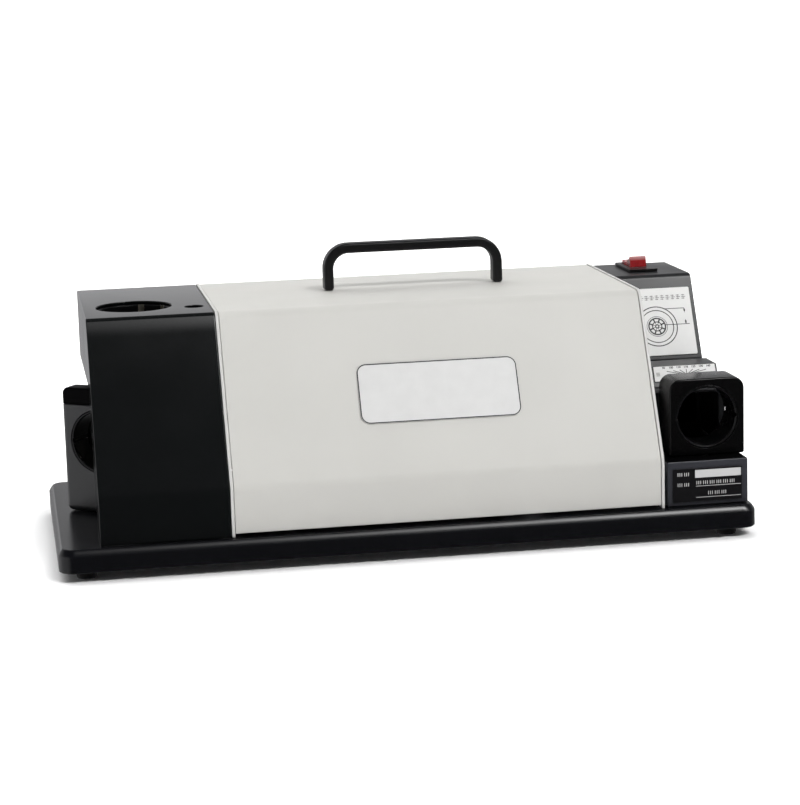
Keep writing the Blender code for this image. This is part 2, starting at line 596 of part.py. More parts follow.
def make_motor():
    shell = ring("motor_shell", MOTOR_LEFT, MOTOR_RIGHT, MOTOR_RADIUS - MOTOR_WALL, MOTOR_RADIUS,
                 "iron", 32)
    vents = [((x, AXIS_Y - 60, AXIS_Z - 4), (x + 12, AXIS_Y - 30, AXIS_Z + 4)) for x in (-55, 61)]
    cut(shell, many_boxes("motor_vents", vents))
    make_end_bell("end_bell_left", MOTOR_LEFT - GAP, -1)
    make_end_bell("end_bell_right", MOTOR_RIGHT + GAP, 1)
    for side, low in (("left", MOTOR_LEFT - GAP - BEARING_WIDTH), ("right", MOTOR_RIGHT + GAP)):
        ring(f"bearing_{side}", low, low + BEARING_WIDTH, BEARING_BORE + GAP, BEARING_RADIUS, "steel")
    ring("stator_core", CORE_LEFT, CORE_RIGHT, 26.0, MOTOR_RADIUS - MOTOR_WALL - GAP - 0.4, "iron")
    ring("winding_left", CORE_LEFT - 18, CORE_LEFT - GAP, 27, 40, "copper")
    ring("winding_right", CORE_RIGHT + GAP, CORE_RIGHT + 18, 27, 40, "copper")
    ring("rotor_core", CORE_LEFT, CORE_RIGHT, 9 + GAP, 25, "iron")
    seat_left, seat_right = MOTOR_LEFT - 14, MOTOR_RIGHT + 14
    profile = [(0, SHAFT_RIGHT), (5, SHAFT_RIGHT), (SHAFT_THIN, SHAFT_RIGHT - 1), (SHAFT_THIN, seat_right),
               (BEARING_BORE, seat_right), (BEARING_BORE, MOTOR_RIGHT - 10), (9, MOTOR_RIGHT - 10),
               (9, MOTOR_LEFT + 10), (BEARING_BORE, MOTOR_LEFT + 10), (BEARING_BORE, seat_left),
               (SHAFT_THIN, seat_left), (SHAFT_THIN, SHAFT_LEFT + 1), (5, SHAFT_LEFT), (0, SHAFT_LEFT)]
    turned("motor_shaft", "X", (0, AXIS_Y, AXIS_Z), profile, "steel", 24)
    make_wheels()
    make_fan()
    make_cradle()


def hex_nut(name, low, high, radius):
    centre = ((low + high) / 2, AXIS_Y, AXIS_Z)
    nut = cylinder(name, "X", centre, radius, high - low, "zinc", 6)
    cut(nut, cylinder(f"{name}_thread", "X", centre, SHAFT_THIN + GAP, 20, None, 24))


def make_wheels():
    """The cone of the right wheel slopes at half of a 118 degree point. The left wheel is thin."""
    bore = SHAFT_THIN + GAP
    axis = (0, AXIS_Y, AXIS_Z)
    turned("grinding_wheel", "X", axis,
           [(10.3, WHEEL_RIGHT), (WHEEL_NOSE, WHEEL_RIGHT), (WHEEL_RADIUS, WHEEL_LEFT),
            (10.3, WHEEL_LEFT)], "grit", 40)
    turned("grinding_wheel_flange", "X", axis,
           [(bore, WHEEL_RIGHT - 1), (10, WHEEL_RIGHT - 1), (10, WHEEL_LEFT - GAP), (19, WHEEL_LEFT - GAP),
            (19, WHEEL_LEFT - 5), (bore, WHEEL_LEFT - 5)], "aluminium", 24)
    hex_nut("grinding_wheel_nut", WHEEL_RIGHT + GAP, WHEEL_RIGHT + 7, 12.0)
    x, radius = THIN_WHEEL_X, THIN_WHEEL_RADIUS
    turned("thinning_wheel", "X", axis,
           [(8.3, x + 4), (radius - 3, x + 4), (radius, x + 1), (radius, x - 1), (radius - 3, x - 4),
            (8.3, x - 4)], "grit", 40)
    turned("thinning_wheel_flange", "X", axis,
           [(bore, x + 10), (15, x + 10), (15, x + 4 + GAP), (8, x + 4 + GAP), (8, x - 3),
            (bore, x - 3)], "aluminium", 24)
    hex_nut("thinning_wheel_nut", x - 11, x - 4 - GAP, 11.0)


def make_fan():
    """The motor's cooling fan, on the shaft outside the left end bell."""
    low, high = -101.0, -85.0
    fan = ring("cooling_fan", high - 3, high, SHAFT_THIN + GAP, 38, "plastic_grey", 32)
    hub = ring("fan_hub", low, high - 1, SHAFT_THIN + GAP, 11, None, 24)
    join(fan, hub)
    for i in range(7):
        turn = at(0, AXIS_Y, AXIS_Z) @ Matrix.Rotation(math.tau * i / 7, 4, "X")
        join(fan, box(f"fan_blade_{i}", (low, -1.2, 9.5), (high - 1.5, 1.2, 36), None, turn))


def make_cradle():
    """The saddle under the motor and the two straps that hold it down."""
    low_y, high_y = AXIS_Y - 48, AXIS_Y + 48
    cradle = box("motor_cradle", (CRADLE_LEFT, low_y, FLOOR), (CRADLE_RIGHT, high_y, CRADLE_TOP),
                 "aluminium")
    saddle = cylinder("saddle", "X", (9, AXIS_Y, AXIS_Z), MOTOR_RADIUS + GAP, 200, None, 48)
    cut(cradle, saddle)
    foot = CRADLE_TOP + GAP
    inner, outer = MOTOR_RADIUS + GAP, MOTOR_RADIUS + 2.3
    for side, x in (("left", CRADLE_LEFT + 8), ("right", CRADLE_RIGHT - 8)):
        strap = ring(f"motor_strap_{side}", x - 7, x + 7, inner, outer, "zinc", 48)
        below = box(f"strap_{side}_below", (x - 10, AXIS_Y - 60, 0), (x + 10, AXIS_Y + 60, foot), None)
        tab_spans = ((low_y + 1, low_y + 8.2), (high_y - 8.2, high_y - 1))
        tabs = many_boxes(f"strap_{side}_tabs",
                          [((x - 7, near, foot), (x + 7, far, foot + 2.5)) for near, far in tab_spans])
        cut(strap, below)
        join(strap, tabs)

    cap_y, cap_radius, band = -50.0, 17.0, 1.5
    cap_z = FLOOR + band + GAP + cap_radius
    cylinder("run_capacitor", "X", (-25, cap_y, cap_z), cap_radius, 70, "aluminium", 32)
    clip = turned("capacitor_clip", "X", (0, cap_y, cap_z),
                  [(cap_radius + GAP, -15), (cap_radius + GAP + band, -15), (cap_radius + GAP + band, -33),
                   (cap_radius + GAP, -33)], "zinc", 32)
    join(clip, box("clip_foot", (-33, cap_y - 26, FLOOR), (-15, cap_y + 2, FLOOR + 1.4), None))


def make_slope_plate(name, kind, x, lower, upper, span, corner):
    """A thin label on a sloped face that runs from lower to upper, given as (Y, Z). span is its
    distance from upper, measured down the slope, to its top edge and its bottom edge."""
    down = (Vector(lower) - Vector(upper)).normalized()
    tilt = math.atan2(-down.y, -down.x)
    top, bottom = span
    left, right = x
    corners = [(left, -bottom, corner), (left, -top, corner), (right, -top, corner),
               (right, -bottom, corner)]
    plate = prism(name, "Z", corners, GAP, GAP + LABEL_SHEET, kind)
    plate.matrix_world = at(0, *upper) @ Matrix.Rotation(tilt, 4, "X")


def make_labels():
    slope = ((FRONT, BEND), (SLOPE_TOP, TOP))
    panel = ((CONSOLE_FRONT, CONSOLE_FOLD), (CONSOLE_EDGE, CONSOLE_TOP))
    scale_face = ((SCALE_FOOT, HOUSING_STEP), (SCALE_HEAD, HOUSING_TOP))
    box_front = ((LOWER_FRONT, FLOOR), (LOWER_FRONT, LOWER_TOP))
    make_slope_plate("cover_label", "label_white", (-31.0, 78.5), *slope, (42.5, 84.6), 4.0)
    make_slope_plate("setting_chart", "label_white", (177.0, 227.5), *panel, (10.6, 61.5), 1.0)
    make_slope_plate("angle_scale", "label_white", (184.5, 229.0), *scale_face, (0.4, 11.4), 0.5)
    make_slope_plate("rating_plate", "black_satin", (178.5, 227.0), *box_front, (5.0, 28.0), 0.8)


def raise_to_datum():
    lift = at(0, 0, DATUM)
    for obj in [*PARTS.objects, *CUTTERS.objects]:
        obj.matrix_world = lift @ obj.matrix_world


def main():
    global PARTS, CUTTERS
    clear_scene()
    PARTS = new_collection("drill_bit_sharpener")
    CUTTERS = new_collection("cutters")
    CUTTERS.hide_render = True
    make_paints()
    make_base()
    make_shell()
    make_left_end()
    make_right_end()
    make_motor()
    make_labels()
    raise_to_datum()


main()
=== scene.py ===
import json
import math

import bmesh
import bpy
from mathutils import Matrix, Vector


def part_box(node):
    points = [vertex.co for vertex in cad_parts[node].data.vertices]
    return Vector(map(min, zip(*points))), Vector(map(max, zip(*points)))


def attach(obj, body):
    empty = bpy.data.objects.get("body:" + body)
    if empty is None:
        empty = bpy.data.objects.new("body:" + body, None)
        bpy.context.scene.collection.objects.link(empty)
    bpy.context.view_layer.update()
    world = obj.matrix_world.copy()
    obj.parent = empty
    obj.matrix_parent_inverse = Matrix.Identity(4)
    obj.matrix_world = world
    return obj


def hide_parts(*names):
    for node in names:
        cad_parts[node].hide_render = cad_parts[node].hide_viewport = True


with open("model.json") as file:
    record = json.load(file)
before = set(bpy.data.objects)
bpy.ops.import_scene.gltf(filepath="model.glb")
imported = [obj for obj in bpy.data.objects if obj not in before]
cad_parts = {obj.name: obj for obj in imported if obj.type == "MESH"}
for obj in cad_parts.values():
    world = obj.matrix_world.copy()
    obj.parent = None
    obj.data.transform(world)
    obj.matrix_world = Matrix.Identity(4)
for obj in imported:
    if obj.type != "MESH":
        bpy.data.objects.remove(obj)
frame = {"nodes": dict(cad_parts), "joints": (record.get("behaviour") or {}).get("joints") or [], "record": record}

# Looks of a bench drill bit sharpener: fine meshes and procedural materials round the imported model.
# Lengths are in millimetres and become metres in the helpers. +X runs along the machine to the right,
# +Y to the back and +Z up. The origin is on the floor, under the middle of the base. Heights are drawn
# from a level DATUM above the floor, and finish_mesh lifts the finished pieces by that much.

MM = 0.001
GAP = 0.3
DATUM = 2.5
LIFT = Vector((0, 0, DATUM))
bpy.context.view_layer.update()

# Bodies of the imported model
MACHINE, SHAFT, SWIVEL, ROCKER = "machine", "shaft", "swivel_port", "rocker"

def box_mm(node):
    """Lowest and highest corner of a node, in millimetres from the datum."""
    low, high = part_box(node)
    return low / MM - LIFT, high / MM - LIFT

def joint_point(name):
    for joint in frame["joints"]:
        if joint["name"] == name:
            return Vector(joint["pos_m"]) / MM - LIFT
    raise ValueError(name)

# ---- sizes

COVER_LOW, COVER_HIGH = box_mm("motor_cover")
HOOD_LOW, HOOD_HIGH = box_mm("left_hood")
CONSOLE_LOW, CONSOLE_HIGH = box_mm("right_console")
TRAY_LOW, TRAY_HIGH = box_mm("base_tray")
LOWER_LOW, LOWER_HIGH = box_mm("lower_right_box")
HOUSING_LOW, HOUSING_HIGH = box_mm("port_housing")
BLOCK_LOW, BLOCK_HIGH = box_mm("swivel_block")
HANDLE_LOW, HANDLE_HIGH = box_mm("handle")

FRONT, BACK, TOP = COVER_LOW.y, COVER_HIGH.y, COVER_HIGH.z
BEND, SLOPE_TOP = 52.7, -45.5  # height of the front's bend, and Y where the slope meets the top
FLOOR = HOOD_LOW.z
COVER_SHEET, SHEET = 1.5, 2.0
AXIS = joint_point("shaft_spin")
PIVOT = joint_point("port_swivel")
ROCKER_PIVOT = joint_point("switch_rock")

CUP_X, CUP_Y, CUP_HOLE, CUP_BORE = -173.4, 3.5, 26.0, 25.0
TUBE_X, TUBE_Y, TUBE_HOLE = -133.2, -11.0, 6.5
THIN_X, THIN_Y, THIN_Z, THIN_TURN = -202.5, -5.8, 70.0, -35.0
THIN_WIDTH, THIN_DEPTH, THIN_TOP = 58.0, 18.0, 106.5
THIN_FACE_TOP, THIN_STEP = 95.0, 1.6
PORT_BORE, BUSH_WALL, PORT_Z = 20.0, 1.7, 77.4
CONSOLE_FOLD, CONSOLE_EDGE = 103.0, 33.0
HOUSING_STEP, SCALE_FOOT, SCALE_HEAD = 91.0, -38.0, -30.5
HOUSING_BACK, HOUSING_SHELF = -5.3, 100.0
SWITCH_X, SWITCH_Y = 200.8, 72.0
ROCKER_HALF, ROCKER_TILT, ROCKER_RISE = 11.2, 13.0, 10.6
INLET_X, INLET_Z = 201.0, 123.0
LOCK_Y, LOCK_HOLE, PIN_HOLE, SWIVEL_REACH = -80.0, 2.3, 4.3, 14.0  # the reach is in degrees
WINDOW_LEFT, WINDOW_RIGHT, WINDOW_FOOT = 184, 226, 56
REAR_LEG, REAR_LEG_TOP = 96.0, 84.0  # the hood's leg behind its side opening

# ---- meshes

PLACE = {
    "X": lambda a, b, level: (level, a, b),
    "Y": lambda a, b, level: (a, level, b),
    "Z": lambda a, b, level: (a, b, level),
}

def at(x, y, z):
    return Matrix.Translation((x, y, z))

def turn_z(degrees):
    return Matrix.Rotation(math.radians(degrees), 4, "Z")

def arc_points(before, corner, after, radius, step):
    a = (Vector(before) - Vector(corner)).normalized()
    b = (Vector(after) - Vector(corner)).normalized()
    half = a.angle(b) / 2
    centre = Vector(corner) + (a + b).normalized() * radius / math.sin(half)
    start = Vector(corner) + a * radius / math.tan(half) - centre
    turn = math.pi - 2 * half
    side = -1 if a.cross(b) > 0 else 1
    count = max(2, round(math.degrees(turn) / step))
    return [centre + Matrix.Rotation(side * turn * i / count, 2) @ start for i in range(count + 1)]

def rounded(corners, step=5.0):
    """A closed outline from corners (a, b) or (a, b, radius), with a point every few degrees of turn."""
    points = []
    for i, corner in enumerate(corners):
        if len(corner) < 3 or corner[2] <= 0:
            points.append(Vector(corner[:2]))
            continue
        before, after = corners[i - 1][:2], corners[(i + 1) % len(corners)][:2]
        points += arc_points(before, corner[:2], after, corner[2], step)
    return points

def corner_list(left, bottom, right, top, low_radius, high_radius=None):
    """A rectangle's corners, clockwise from its lower left one."""
    high_radius = low_radius if high_radius is None else high_radius
    return [(left, bottom, low_radius), (left, top, high_radius), (right, top, high_radius),
            (right, bottom, low_radius)]

def inset(corners, distances):
    """A clockwise outline with each side moved inwards. Side i runs from corner i to the next one."""
    count = len(corners)
    moved = []
    for i, distance in enumerate(distances):
        start, end = Vector(corners[i][:2]), Vector(corners[(i + 1) % count][:2])
        along = (end - start).normalized()
        moved.append((start + Vector((along.y, -along.x)) * distance, along))
    result = []
    for i in range(count):
        (p, u), (q, v) = moved[i - 1], moved[i]
        point = p + u * ((q - p).cross(v) / u.cross(v))
        radius = corners[i][2] if len(corners[i]) > 2 else 0
        shrink = distances[i] if u.cross(v) < 0 else -distances[i]
        result.append((point.x, point.y, max(0.0, radius - shrink) if radius else 0.0))
    return result

def stack_rings(bm, rings, closed=False):
    """The skin through rings of points, capped at both ends unless it closes on itself."""
    if closed:
        rings = rings + rings[:1]
    else:
        bm.faces.new(rings[0])
        bm.faces.new(rings[-1])
    count = len(rings[0])
    for lower, upper in zip(rings, rings[1:]):
        for i in range(count):
            j = (i + 1) % count
            bm.faces.new((lower[i], lower[j], upper[j], upper[i]))

def extrude(bm, axis, points, low, high):
    """A closed solid between two levels of an outline."""
    stack_rings(bm, [[bm.verts.new(PLACE[axis](p[0], p[1], level)) for p in points] for level in (low, high)])

def add_turned(bm, axis, profile, steps):
    """A closed profile of (radius, height) points turned about an axis. A point on the axis is a pole."""
    loops = []
    for radius, height in profile:
        if radius == 0:
            loops.append([bm.verts.new(PLACE[axis](0, 0, height))])
            continue
        loop = []
        for i in range(steps):
            angle = math.tau * i / steps
            a, b = radius * math.cos(angle), radius * math.sin(angle)
            loop.append(bm.verts.new(PLACE[axis](a, b, height)))
        loops.append(loop)
    closed = profile[0][0] > 0
    for k in range(len(loops) if closed else len(loops) - 1):
        lower, upper = loops[k], loops[(k + 1) % len(loops)]
        for i in range(steps):
            j = (i + 1) % steps
            quad = [lower[i % len(lower)], lower[j % len(lower)], upper[j % len(upper)], upper[i % len(upper)]]
            face = list(dict.fromkeys(quad))
            if len(face) > 2:
                bm.faces.new(face)

def new_object(name, data):
    obj = bpy.data.objects.new(name, data)
    bpy.context.scene.collection.objects.link(obj)
    return obj

def finish_mesh(bm, name, matrix=None):
    bmesh.ops.recalc_face_normals(bm, faces=bm.faces)
    if matrix is not None:
        bmesh.ops.transform(bm, matrix=matrix, verts=bm.verts)
    bmesh.ops.translate(bm, vec=LIFT, verts=bm.verts)
    bmesh.ops.scale(bm, vec=(MM, MM, MM), verts=bm.verts)
    mesh = bpy.data.meshes.new(name)
    bm.to_mesh(mesh)
    bm.free()
    return new_object(name, mesh)

def prism(name, axis, corners, low, high, matrix=None, step=5.0):
    bm = bmesh.new()
    extrude(bm, axis, rounded(corners, step), low, high)
    return finish_mesh(bm, name, matrix)

def block(name, low, high, matrix=None):
    corners = [(low[0], low[1]), (low[0], high[1]), (high[0], high[1]), (high[0], low[1])]
    return prism(name, "Z", corners, low[2], high[2], matrix)

def turned(name, axis, profile, matrix=None, steps=64):
    bm = bmesh.new()
    add_turned(bm, axis, profile, steps)
    return finish_mesh(bm, name, matrix)

def disc(name, axis, radius, low, high, matrix=None, steps=64):
    return turned(name, axis, [(0, low), (radius, low), (radius, high), (0, high)], matrix, steps)

def rolled_block(name, rectangle, low, high, roll, matrix=None, step=4.0):
    """A block along Y with its front and back edges rolled over. rectangle is its outline as left, bottom,
    right, top and the radii of its lower and upper corners."""
    left, bottom, right, top, low_radius, high_radius = rectangle
    layers = []
    for i in range(8):
        angle = math.radians(90 * i / 7)
        layers.append((roll * (1 - math.sin(angle)), low + roll * (1 - math.cos(angle))))
    layers += [(inner, low + high - level) for inner, level in reversed(layers)]
    bm = bmesh.new()
    rings = []
    for inner, level in layers:
        sides = (left + inner, bottom + inner, right - inner, top - inner)
        corners = corner_list(*sides, low_radius - inner, high_radius - inner)
        rings.append([bm.verts.new((p.x, level, p.y)) for p in rounded(corners, step)])
    stack_rings(bm, rings)
    return finish_mesh(bm, name, matrix)

def boolean(obj, other, operation):
    """Cuts or joins at once, so that no cutter stays in the scene."""
    modifier = obj.modifiers.new("Boolean", "BOOLEAN")
    modifier.operation = operation
    modifier.object = other
    modifier.solver = "EXACT"
    graph = bpy.context.evaluated_depsgraph_get()
    result = bpy.data.meshes.new_from_object(obj.evaluated_get(graph))
    obj.modifiers.clear()
    obj.data = result
    bpy.data.objects.remove(other, do_unlink=True)

def cut(obj, *others):
    for other in others:
        boolean(obj, other, "DIFFERENCE")

def join(obj, *others):
    for other in others:
        boolean(obj, other, "UNION")

def soften(obj, width, segments=3, angle=32):
    """Rounds the edges and shades the piece smooth."""
    obj.data.shade_smooth()
    if width:
        bevel = obj.modifiers.new("Bevel", "BEVEL")
        bevel.width = width * MM
        bevel.segments = segments
        bevel.limit_method = "ANGLE"
        bevel.angle_limit = math.radians(angle)
        bevel.harden_normals = True
        bevel.use_clamp_overlap = True
    else:
        obj.data.set_sharp_from_angle(angle=math.radians(angle))

def show(obj, slot, node=None, soft=(0,), body=MACHINE, material=None):
    """Finishes a piece: its edges, its material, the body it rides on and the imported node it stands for."""
    if soft:
        soften(obj, *soft)
    obj.data.materials.clear()
    obj.data.materials.append(MATERIALS[material or slot])
    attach(obj, body)
    if node:
        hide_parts(node)

# ---- materials

MATERIALS = {}

def new_material(name, roughness, metallic=0.0, specular=0.5):
    """Adds a material to MATERIALS and returns its node tree and shader."""
    MATERIALS[name] = material = bpy.data.materials.new(name)
    material.use_nodes = True
    shader = material.node_tree.nodes["Principled BSDF"]
    shader.inputs["Roughness"].default_value = roughness
    shader.inputs["Metallic"].default_value = metallic
    shader.inputs["Specular IOR Level"].default_value = specular
    return material.node_tree, shader

def add_node(tree, kind, inputs=None, **settings):
    made = tree.nodes.new(kind)
    for key, value in settings.items():
        setattr(made, key, value)
    for key, value in (inputs or {}).items():
        if isinstance(value, bpy.types.NodeSocket):
            tree.links.new(value, made.inputs[key])
        else:
            made.inputs[key].default_value = value
    return made

def position(tree):
    """A point's place in the piece's own coordinates, in metres."""
    return add_node(tree, "ShaderNodeTexCoord").outputs["Object"]

def split(tree, vector):
    return add_node(tree, "ShaderNodeSeparateXYZ", {0: vector}).outputs

def noise(tree, scale, detail=3.0, distortion=0.0, stretch=None):
    """A noise of so many features a metre. stretch scales each axis."""
    place = position(tree)
    if stretch is not None:
        place = vector_node(tree, "MULTIPLY", place, stretch)
    inputs = {"Vector": place, "Scale": scale, "Detail": detail, "Distortion": distortion}
    return add_node(tree, "ShaderNodeTexNoise", inputs).outputs["Fac"]

def ranged(tree, value, low, high, to_low, to_high):
    inputs = {"Value": value, "From Min": low, "From Max": high, "To Min": to_low, "To Max": to_high}
    return add_node(tree, "ShaderNodeMapRange", inputs).outputs["Result"]

def math_node(tree, operation, a, b):
    return add_node(tree, "ShaderNodeMath", {0: a, 1: b}, operation=operation).outputs[0]

def times(tree, a, b):
    return math_node(tree, "MULTIPLY", a, b)

def plus(tree, a, b):
    return math_node(tree, "ADD", a, b)

def mixed(tree, factor, a, b):
    made = add_node(tree, "ShaderNodeMix", data_type="RGBA")
    for socket, value in ((made.inputs["Factor"], factor), (made.inputs[6], a), (made.inputs[7], b)):
        if isinstance(value, bpy.types.NodeSocket):
            tree.links.new(value, socket)
        else:
            socket.default_value = value
    return made.outputs[2]

def vector_node(tree, operation, *values, output=0):
    inputs = dict(enumerate(values))
    return add_node(tree, "ShaderNodeVectorMath", inputs, operation=operation).outputs[output]

def paint(tree, shader, tone, roughness):
    tree.links.new(tone, shader.inputs["Base Color"])
    tree.links.new(roughness, shader.inputs["Roughness"])

def shade(color, factor):
    return (*(min(1.0, channel * factor) for channel in color), 1.0)

def edge_mask(tree, radius, low, high):
    """1 on sharp edges and 0 on flat stretches."""
    soft = add_node(tree, "ShaderNodeBevel", {"Radius": radius * MM}, samples=4).outputs["Normal"]
    hard = add_node(tree, "ShaderNodeNewGeometry").outputs["Normal"]
    dot = vector_node(tree, "DOT_PRODUCT", soft, hard, output="Value")
    return ranged(tree, math_node(tree, "SUBTRACT", 1.0, dot), low, high, 0.0, 1.0)

def upward_mask(tree):
    normal = add_node(tree, "ShaderNodeNewGeometry").outputs["Normal"]
    return ranged(tree, split(tree, normal)["Z"], 0.55, 0.98, 0.0, 1.0)

def bump(tree, shader, layers):
    """Layers of (height, distance in millimetres), the last one on top."""
    normal = None
    for height, distance in layers:
        inputs = {"Height": height, "Distance": distance * MM, "Strength": 1.0}
        if normal is not None:
            inputs["Normal"] = normal
        normal = add_node(tree, "ShaderNodeBump", inputs).outputs["Normal"]
    tree.links.new(normal, shader.inputs["Normal"])

def coat(name, color, roughness, specular, peel=0.004, variation=0.05, wear=None, wear_share=0.5,
         dust=0.0, spread=0.03):
    """Paint on sheet metal: orange peel, cloudy gloss, rubbed edges, and dust on what faces up."""
    tree, shader = new_material(name, roughness, specular=specular)
    clouds = ranged(tree, noise(tree, 14.0), 0.35, 0.65, 0.0, 1.0)
    tone = mixed(tree, clouds, shade(color, 1 - variation), shade(color, 1 + variation))
    smudges = ranged(tree, noise(tree, 30.0, 4.0), 0.3, 0.7, roughness - spread, roughness + spread)
    if wear is not None:
        chips = ranged(tree, noise(tree, 260.0, 4.0), 0.42, 0.62, 0.15, 1.0)
        rubbed = times(tree, edge_mask(tree, 0.7, 0.03, 0.3), chips)
        share = times(tree, rubbed, wear_share)
        tone = mixed(tree, share, tone, (*wear, 1.0))
        smudges = plus(tree, smudges, times(tree, share, 0.15))
    if dust:
        specks = ranged(tree, noise(tree, 1500.0, 2.0), 0.56, 0.72, 0.15, 1.0)
        film = ranged(tree, noise(tree, 20.0, 3.0, 0.6), 0.3, 0.7, 0.35, 1.0)
        settled = times(tree, times(tree, specks, film), upward_mask(tree))
        share = times(tree, settled, dust)
        tone = mixed(tree, share, tone, (0.42, 0.41, 0.4, 1.0))
        smudges = plus(tree, smudges, times(tree, share, 0.8))
    paint(tree, shader, tone, smudges)
    bump(tree, shader, [(noise(tree, 60.0, 2.0), peel), (noise(tree, 620.0, 2.0), peel * 0.6)])

def cover_coat():
    """Pale powder coat, a little darker and patchy towards the foot of the sheet, as painted shade."""
    coat("cover_paint", (0.5, 0.495, 0.47), 0.46, 0.42, 0.008, 0.018, (0.42, 0.41, 0.39), 0.5)
    tree = MATERIALS["cover_paint"].node_tree
    base = tree.nodes["Principled BSDF"].inputs["Base Color"]
    # Painted shade: the coat darkens and goes patchy towards the foot of the sheet.
    low = ranged(tree, split(tree, position(tree))["Z"], (75 + DATUM) * MM, (22 + DATUM) * MM, 0.0, 1.0)
    patchy_shade = ranged(tree, noise(tree, 22.0, 5.0, 0.8), 0.3, 0.75, 0.25, 1.0)
    share = times(tree, times(tree, low, patchy_shade), 0.22)
    unshaded = base.links[0].from_socket
    tree.links.new(mixed(tree, share, unshaded, (0.36, 0.34, 0.325, 1.0)), base)

def metal(name, color, roughness, spread=0.08, grain=(1, 1, 1), scale=300.0, relief=0.004, stain=0.1):
    """Bare or plated metal. grain squeezes the noise along the brushing."""
    tree, shader = new_material(name, roughness, metallic=1.0)
    strokes = noise(tree, scale, 4.0, 0.0, grain)
    blotches = ranged(tree, noise(tree, 45.0, 4.0, 0.7), 0.35, 0.7, 0.0, 1.0)
    tone = mixed(tree, blotches, shade(color, 1 + stain), shade(color, 1 - stain))
    rubbed = times(tree, edge_mask(tree, 0.5, 0.03, 0.3), 0.35)
    tone = mixed(tree, rubbed, tone, shade(color, 1.35))
    paint(tree, shader, tone, ranged(tree, strokes, 0.3, 0.7, roughness - spread, roughness + spread))
    bump(tree, shader, [(strokes, relief)])

def plastic(name, color, roughness, relief=0.006, scale=900.0, specular=0.5, variation=0.06):
    """Moulded plastic or rubber with a fine grain."""
    tree, shader = new_material(name, roughness, specular=specular)
    clouds = ranged(tree, noise(tree, 60.0), 0.35, 0.65, 0.0, 1.0)
    tone = mixed(tree, clouds, shade(color, 1 - variation), shade(color, 1 + variation))
    rubbed = times(tree, edge_mask(tree, 0.5, 0.04, 0.35), 0.3)
    tone = mixed(tree, rubbed, tone, shade(tuple(channel + 0.03 for channel in color), 1.3))
    grain = noise(tree, scale, 3.0)
    paint(tree, shader, tone, ranged(tree, grain, 0.3, 0.7, roughness - 0.06, roughness + 0.06))
    bump(tree, shader, [(grain, relief)])

def printed(name, color, roughness, variation=0.02):
    """Printed film: a faint mottle, slight yellowing, and fine pits."""
    tree, shader = new_material(name, roughness, specular=0.4)
    mottle = ranged(tree, noise(tree, 120.0, 4.0), 0.3, 0.7, 0.0, 1.0)
    tone = mixed(tree, mottle, shade(color, 1 - variation), shade(color, 1 + variation))
    aged = times(tree, edge_mask(tree, 0.9, 0.02, 0.3), 0.3)
    tone = mixed(tree, aged, tone, (color[0] * 0.86, color[1] * 0.84, color[2] * 0.76, 1.0))
    pits = noise(tree, 1100.0, 2.0)
    paint(tree, shader, tone, ranged(tree, pits, 0.3, 0.7, roughness - 0.05, roughness + 0.05))
    bump(tree, shader, [(noise(tree, 90.0, 2.0), 0.006), (pits, 0.002)])

def abrasive():
    """Bonded grit: grains of several tones, pits and a loaded, darker film."""
    tree, shader = new_material("abrasive", 0.88, specular=0.35)
    grains = add_node(tree, "ShaderNodeTexVoronoi", {"Vector": position(tree), "Scale": 2600.0})
    tint = add_node(tree, "ShaderNodeSeparateColor", {0: grains.outputs["Color"]}).outputs[0]
    tone = mixed(tree, tint, (0.2, 0.19, 0.17, 1.0), (0.5, 0.47, 0.41, 1.0))
    loaded = ranged(tree, noise(tree, 90.0, 4.0), 0.45, 0.7, 0.0, 0.6)
    tone = mixed(tree, loaded, tone, (0.1, 0.1, 0.1, 1.0))
    paint(tree, shader, tone, ranged(tree, tint, 0.0, 1.0, 0.75, 0.98))
    bump(tree, shader, [(grains.outputs["Distance"], 0.12)])

def winding():
    """Varnished wire: strands that run round the motor's axis, with painted shade between them and a painted
    highlight on each crest.
    """
    tree, shader = new_material("copper_winding", 0.32, metallic=0.85)
    centre = (0.0, AXIS.y * MM, (AXIS.z + DATUM) * MM)
    offset = vector_node(tree, "SUBTRACT", position(tree), centre)
    flat = vector_node(tree, "MULTIPLY", offset, (0.0, 1.0, 1.0))
    radius = vector_node(tree, "LENGTH", flat, output="Value")
    across = plus(tree, radius, split(tree, offset)["X"])
    strands = math_node(tree, "SINE", times(tree, across, math.tau / (1.1 * MM)), 0.0)
    # Painted shade and highlight: dark between the strands, light on their crests.
    crest = ranged(tree, strands, -1.0, 1.0, 0.0, 1.0)
    tone = mixed(tree, crest, (0.3, 0.11, 0.05, 1.0), (0.7, 0.32, 0.15, 1.0))
    paint(tree, shader, tone, ranged(tree, noise(tree, 200.0), 0.3, 0.7, 0.25, 0.42))
    bump(tree, shader, [(strands, 0.12)])

def lit_red():
    """The rocker's translucent red plastic, paler at its raised edges: painted light for where light passes
    through.
    """
    tree, shader = new_material("switch_red", 0.14, specular=0.6)
    swirl = ranged(tree, noise(tree, 160.0, 3.0, 0.8), 0.3, 0.7, 0.0, 1.0)
    red = mixed(tree, swirl, (0.26, 0.006, 0.008, 1.0), (0.38, 0.014, 0.018, 1.0))
    top = (ROCKER_PIVOT.z + ROCKER_RISE + DATUM) * MM
    # Painted highlight: paler towards the raised top and on the edges.
    raised = ranged(tree, split(tree, position(tree))["Z"], top - 3.4 * MM, top - 1.0 * MM, 0.0, 0.85)
    pale = math_node(tree, "MAXIMUM", raised, times(tree, edge_mask(tree, 0.8, 0.02, 0.25), 0.35))
    tone = mixed(tree, pale, red, (0.68, 0.38, 0.38, 1.0))
    paint(tree, shader, tone, ranged(tree, noise(tree, 300.0), 0.3, 0.7, 0.1, 0.2))
    shader.inputs["Subsurface Weight"].default_value = 0.25
    shader.inputs["Subsurface Radius"].default_value = (0.004, 0.0008, 0.0006)
    shader.inputs["Coat Weight"].default_value = 0.4
    bump(tree, shader, [(noise(tree, 700.0), 0.003)])

